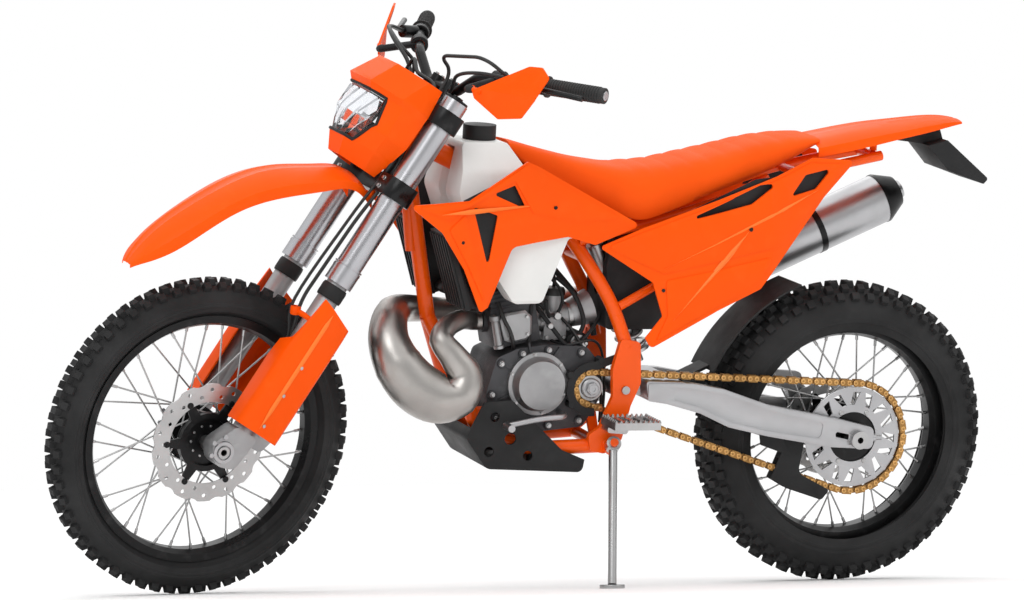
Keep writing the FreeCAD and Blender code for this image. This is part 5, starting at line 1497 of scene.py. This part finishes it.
    @staticmethod
    def side_y(x: float) -> float:
        """Half width of the side panels' outer face."""
        return between(x, PANEL_BAND) + 2.5

    @staticmethod
    def shroud_y(x: float) -> float:
        """Half width of the shrouds' outer face."""
        return 152 + (x - 800) * 0.26

    @classmethod
    def bar_hoses(cls) -> None:
        """Hoses over the mask and down the left leg, and the hand guards' black mounts."""
        base = cls.bar_middle()

        def off(x: float, y: float, z: float) -> Point:
            """An upright place given from the middle of the bar."""
            return (base.x + x, base.y + y, base.z + z)

        fork = cls.fork_point
        hoses = MeshStore()
        for path, radius in (
                ([off(-30, -252, 70), off(34, -196, 92), off(66, -118, 84), off(58, -52, 40),
                  fork(176, 62, -30), fork(60, 52, -76), fork(-20, 44, -70)], 4.5),
                ([fork(150, 62, -66), fork(238, 84, -40), off(66, 8, 34), off(50, 56, 14),
                  fork(150, 66, 84), fork(20, 60, 84), fork(-20, 50, 70)], 4.5),
                ([off(-30, 252, 70), off(18, 196, 72), off(34, 126, 52), off(22, 78, 6),
                  fork(140, 52, 78), fork(20, 46, 84), fork(-20, 42, 74)], 4.0),
                ([fork(-40, 62, 78), fork(-130, 68, 75), fork(-330, 68, 65), fork(-400, 34, 65),
                  fork(-470, 10, 68)], 3.5)):
            hoses.hose(path, radius, True)
        mounts = MeshStore()
        along = Vector((-0.54, 0.84, 0.02)).normalized()
        up = Vector((-0.12, 0.0, 1.0)).normalized()
        origin = base + Vector((46, 214, -20))
        seat = base + Vector((-35.7, 186.3, 54.7))
        run = Vector((-50, 102, 10)).normalized()
        for side in (1, -1):
            path = [origin - along * 2 + up * 61.5, origin - along * 14 + up * 62,
                    seat + Vector((6, 0, 0))]
            mounts.hose([(q.x, side * q.y, q.z) for q in path], 8.0, True)
            axis = STANCE.steered_direction((run.x, side * run.y, run.z))
            at = STANCE.steered((seat.x, side * seat.y, seat.z))
            mounts.collar(at - axis * 0.012, axis, 0.012, 0.0195, 0.024, 32)
        hoses.piece("bar_hoses", HOSE_RUBBER, Body.STEERING, "hose_rubber", 50.0)
        mounts.piece("guard_mounts", BLACK_PLASTIC, Body.STEERING, "black_plastic", 40.0)

    @staticmethod
    def silencer() -> None:
        """Dark end cap, bands and tail bore of the silencer."""
        begin = Vector(SILENCER_START)
        along = (Vector(SILENCER_END) - begin).normalized()
        axis = STANCE.direction(tuple(along))
        dark = MeshStore()

        def at(place: float) -> Vector:
            """A place that far along the silencer."""
            return STANCE.world(tuple(begin + along * place))

        dark.lathe(at(366), axis, [(0.054, 0), (0.0572, 0), (0.0572, 0.006), (0.0345, 0.0465),
                                   (0.031, 0.0465), (0.050, 0.008)], 72)
        dark.prism(at(424), axis, 0.0165, 0.0003, 40)
        for place in (18, 190):
            dark.collar(at(place), axis, 0.0555, 0.0573, 0.014, 72)
        dark.piece("silencer_cap", BLACK_ALLOY, Body.CHASSIS, "black_alloy")

    @staticmethod
    def wheel_bolts(name: str, wheel: Wheel, radius: float, y: float, count: int, size: float,
                    finish: Finish, slot: str) -> None:
        """A ring of button bolts on a wheel, with radius, y and size in millimetres."""
        centre, across, up, ahead = wheel.axes()
        out = across if y > 0 else -across
        store = MeshStore()
        for step in range(count):
            angle = 2 * math.pi * step / count
            at = centre + (ahead * math.cos(angle) * radius + up * math.sin(angle) * radius
                           + across * y) * MM
            store.prism(at - out * 0.001, out, size * MM, 0.0032, 20, 0.0009)
            store.prism(at + out * 0.0019, out, size * 0.45 * MM, 0.0009, 6)
        store.piece(name, finish, wheel.body, slot)

    @classmethod
    def bolts(cls) -> None:
        """Bolts of the engine, the panels, the fork and the wheels."""
        engine = []
        for centre, count, start, radius, y in ((IGNITION, 6, 20, 65, 84),
                                                (CLUTCH, 8, 0, 72, -112)):
            for step in range(count):
                angle = math.radians(360 / count * step + start)
                engine.append(((centre[0] + radius * math.cos(angle), y,
                                centre[1] + radius * math.sin(angle)),
                               (0, math.copysign(1, y), 0)))
        BoltSet("engine_bolts", Body.CHASSIS, PLATED_STEEL, "bolt_steel", 0.0036, 0.004,
                places=tuple(engine)).build()
        panel = [((x, side * y, z), (tilt, side, 0)) for x, y, z, tilt in (
            (300, 142.6, 813, 0.07), (497, 142.4, 679, 0.0), (982, 190.4, 790, -0.16),
            (760, 149.6, 860, -0.11)) for side in (1, -1)]
        BoltSet("panel_bolts", Body.CHASSIS, BLACK_ALLOY, "black_alloy", 0.0042, 0.003,
                places=tuple(panel)).build()
        fork = [(cls.fork_point(along, 8, side * 146.4), (0.1, side, 0.06))
                for along in (-596, -520, -450) for side in (1, -1)]
        BoltSet("guard_bolts", Body.STEERING, PLATED_STEEL, "bolt_steel", 0.0036, 0.003, True,
                tuple(fork)).build()
        clamp = [(cls.fork_point(190, 0, 0), FORK_UP)]
        clamp += [(cls.fork_point(243, ahead, side), FORK_UP)
                  for side in (34, -34) for ahead in (2, 18)]
        clamp += [(cls.fork_point(along, 61.6, side * 0.9), FORK_AHEAD)
                  for side in (FORK_HALF, -FORK_HALF) for along in (-34, -14, 146, 168)]
        BoltSet("clamp_bolts", Body.STEERING, PLATED_STEEL, "bolt_steel", 0.0042, 0.005, True,
                tuple(clamp)).build()
        black, steel = (BLACK_ALLOY, "black_alloy"), (PLATED_STEEL, "bolt_steel")
        cls.wheel_bolts("front_disc_buttons", FRONT, 96, 53.5, 6, 7.0, *black)
        cls.wheel_bolts("rear_disc_buttons", REAR, 79, -55.5, 6, 6.0, *black)
        cls.wheel_bolts("sprocket_bolts", REAR, 62, 84.5, 6, 5.5, *steel)
        cls.wheel_bolts("front_hub_bolts", FRONT, 34, 38.5, 10, 3.0, *steel)

    @classmethod
    def liners(cls) -> None:
        """Black liners behind the windows of the shrouds and side panels."""
        shroud = [(800, 850), (860, 925), (925, 905), (985, 880), (930, 715), (895, 800)]
        windows = [[(484, 818), (472, 838), (290, 922), (228, 928), (218, 912), (290, 858)],
                   [(214, 876), (178, 944), (92, 957), (84, 946), (130, 892)]]
        store = MeshStore()
        for side in (1, -1):
            rings = [[(x, cls.shroud_y(x) - 9, z) for x, z in shroud]]
            rings += [[(x, between(x, PANEL_BAND) - 7, z) for x, z in outline]
                      for outline in windows]
            for ring in rings:
                store.slab([STANCE.world((x, side * y, z)) for x, y, z in ring],
                           [STANCE.world((x, side * (y - 1.6), z)) for x, y, z in ring])
        store.piece("window_liners", BLACK_PLASTIC, Body.CHASSIS, "black_plastic")


def main() -> None:
    """Builds the looks in order."""
    logging.basicConfig(level=logging.INFO, format="%(message)s")
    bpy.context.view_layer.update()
    Studio().build()
    dress_nodes()
    build_tyres()
    SpokeNipples("front_nipples", FRONT, 62, 38, 247).build()
    SpokeNipples("rear_nipples", REAR, 66, 42, 217).build()
    RibbedSeat().build()
    Exhaust().build()
    Trim.collars()
    Trim.chain_pins()
    Engine.build()
    Trim.liners()
    Trim.lamp()
    Trim.grip_rings()
    Trim.bar_hoses()
    Trim.fork_feet()
    Trim.dust_boots()
    Trim.spears()
    Trim.silencer()
    Trim.bolts()


if __name__ == "__main__":
    main()
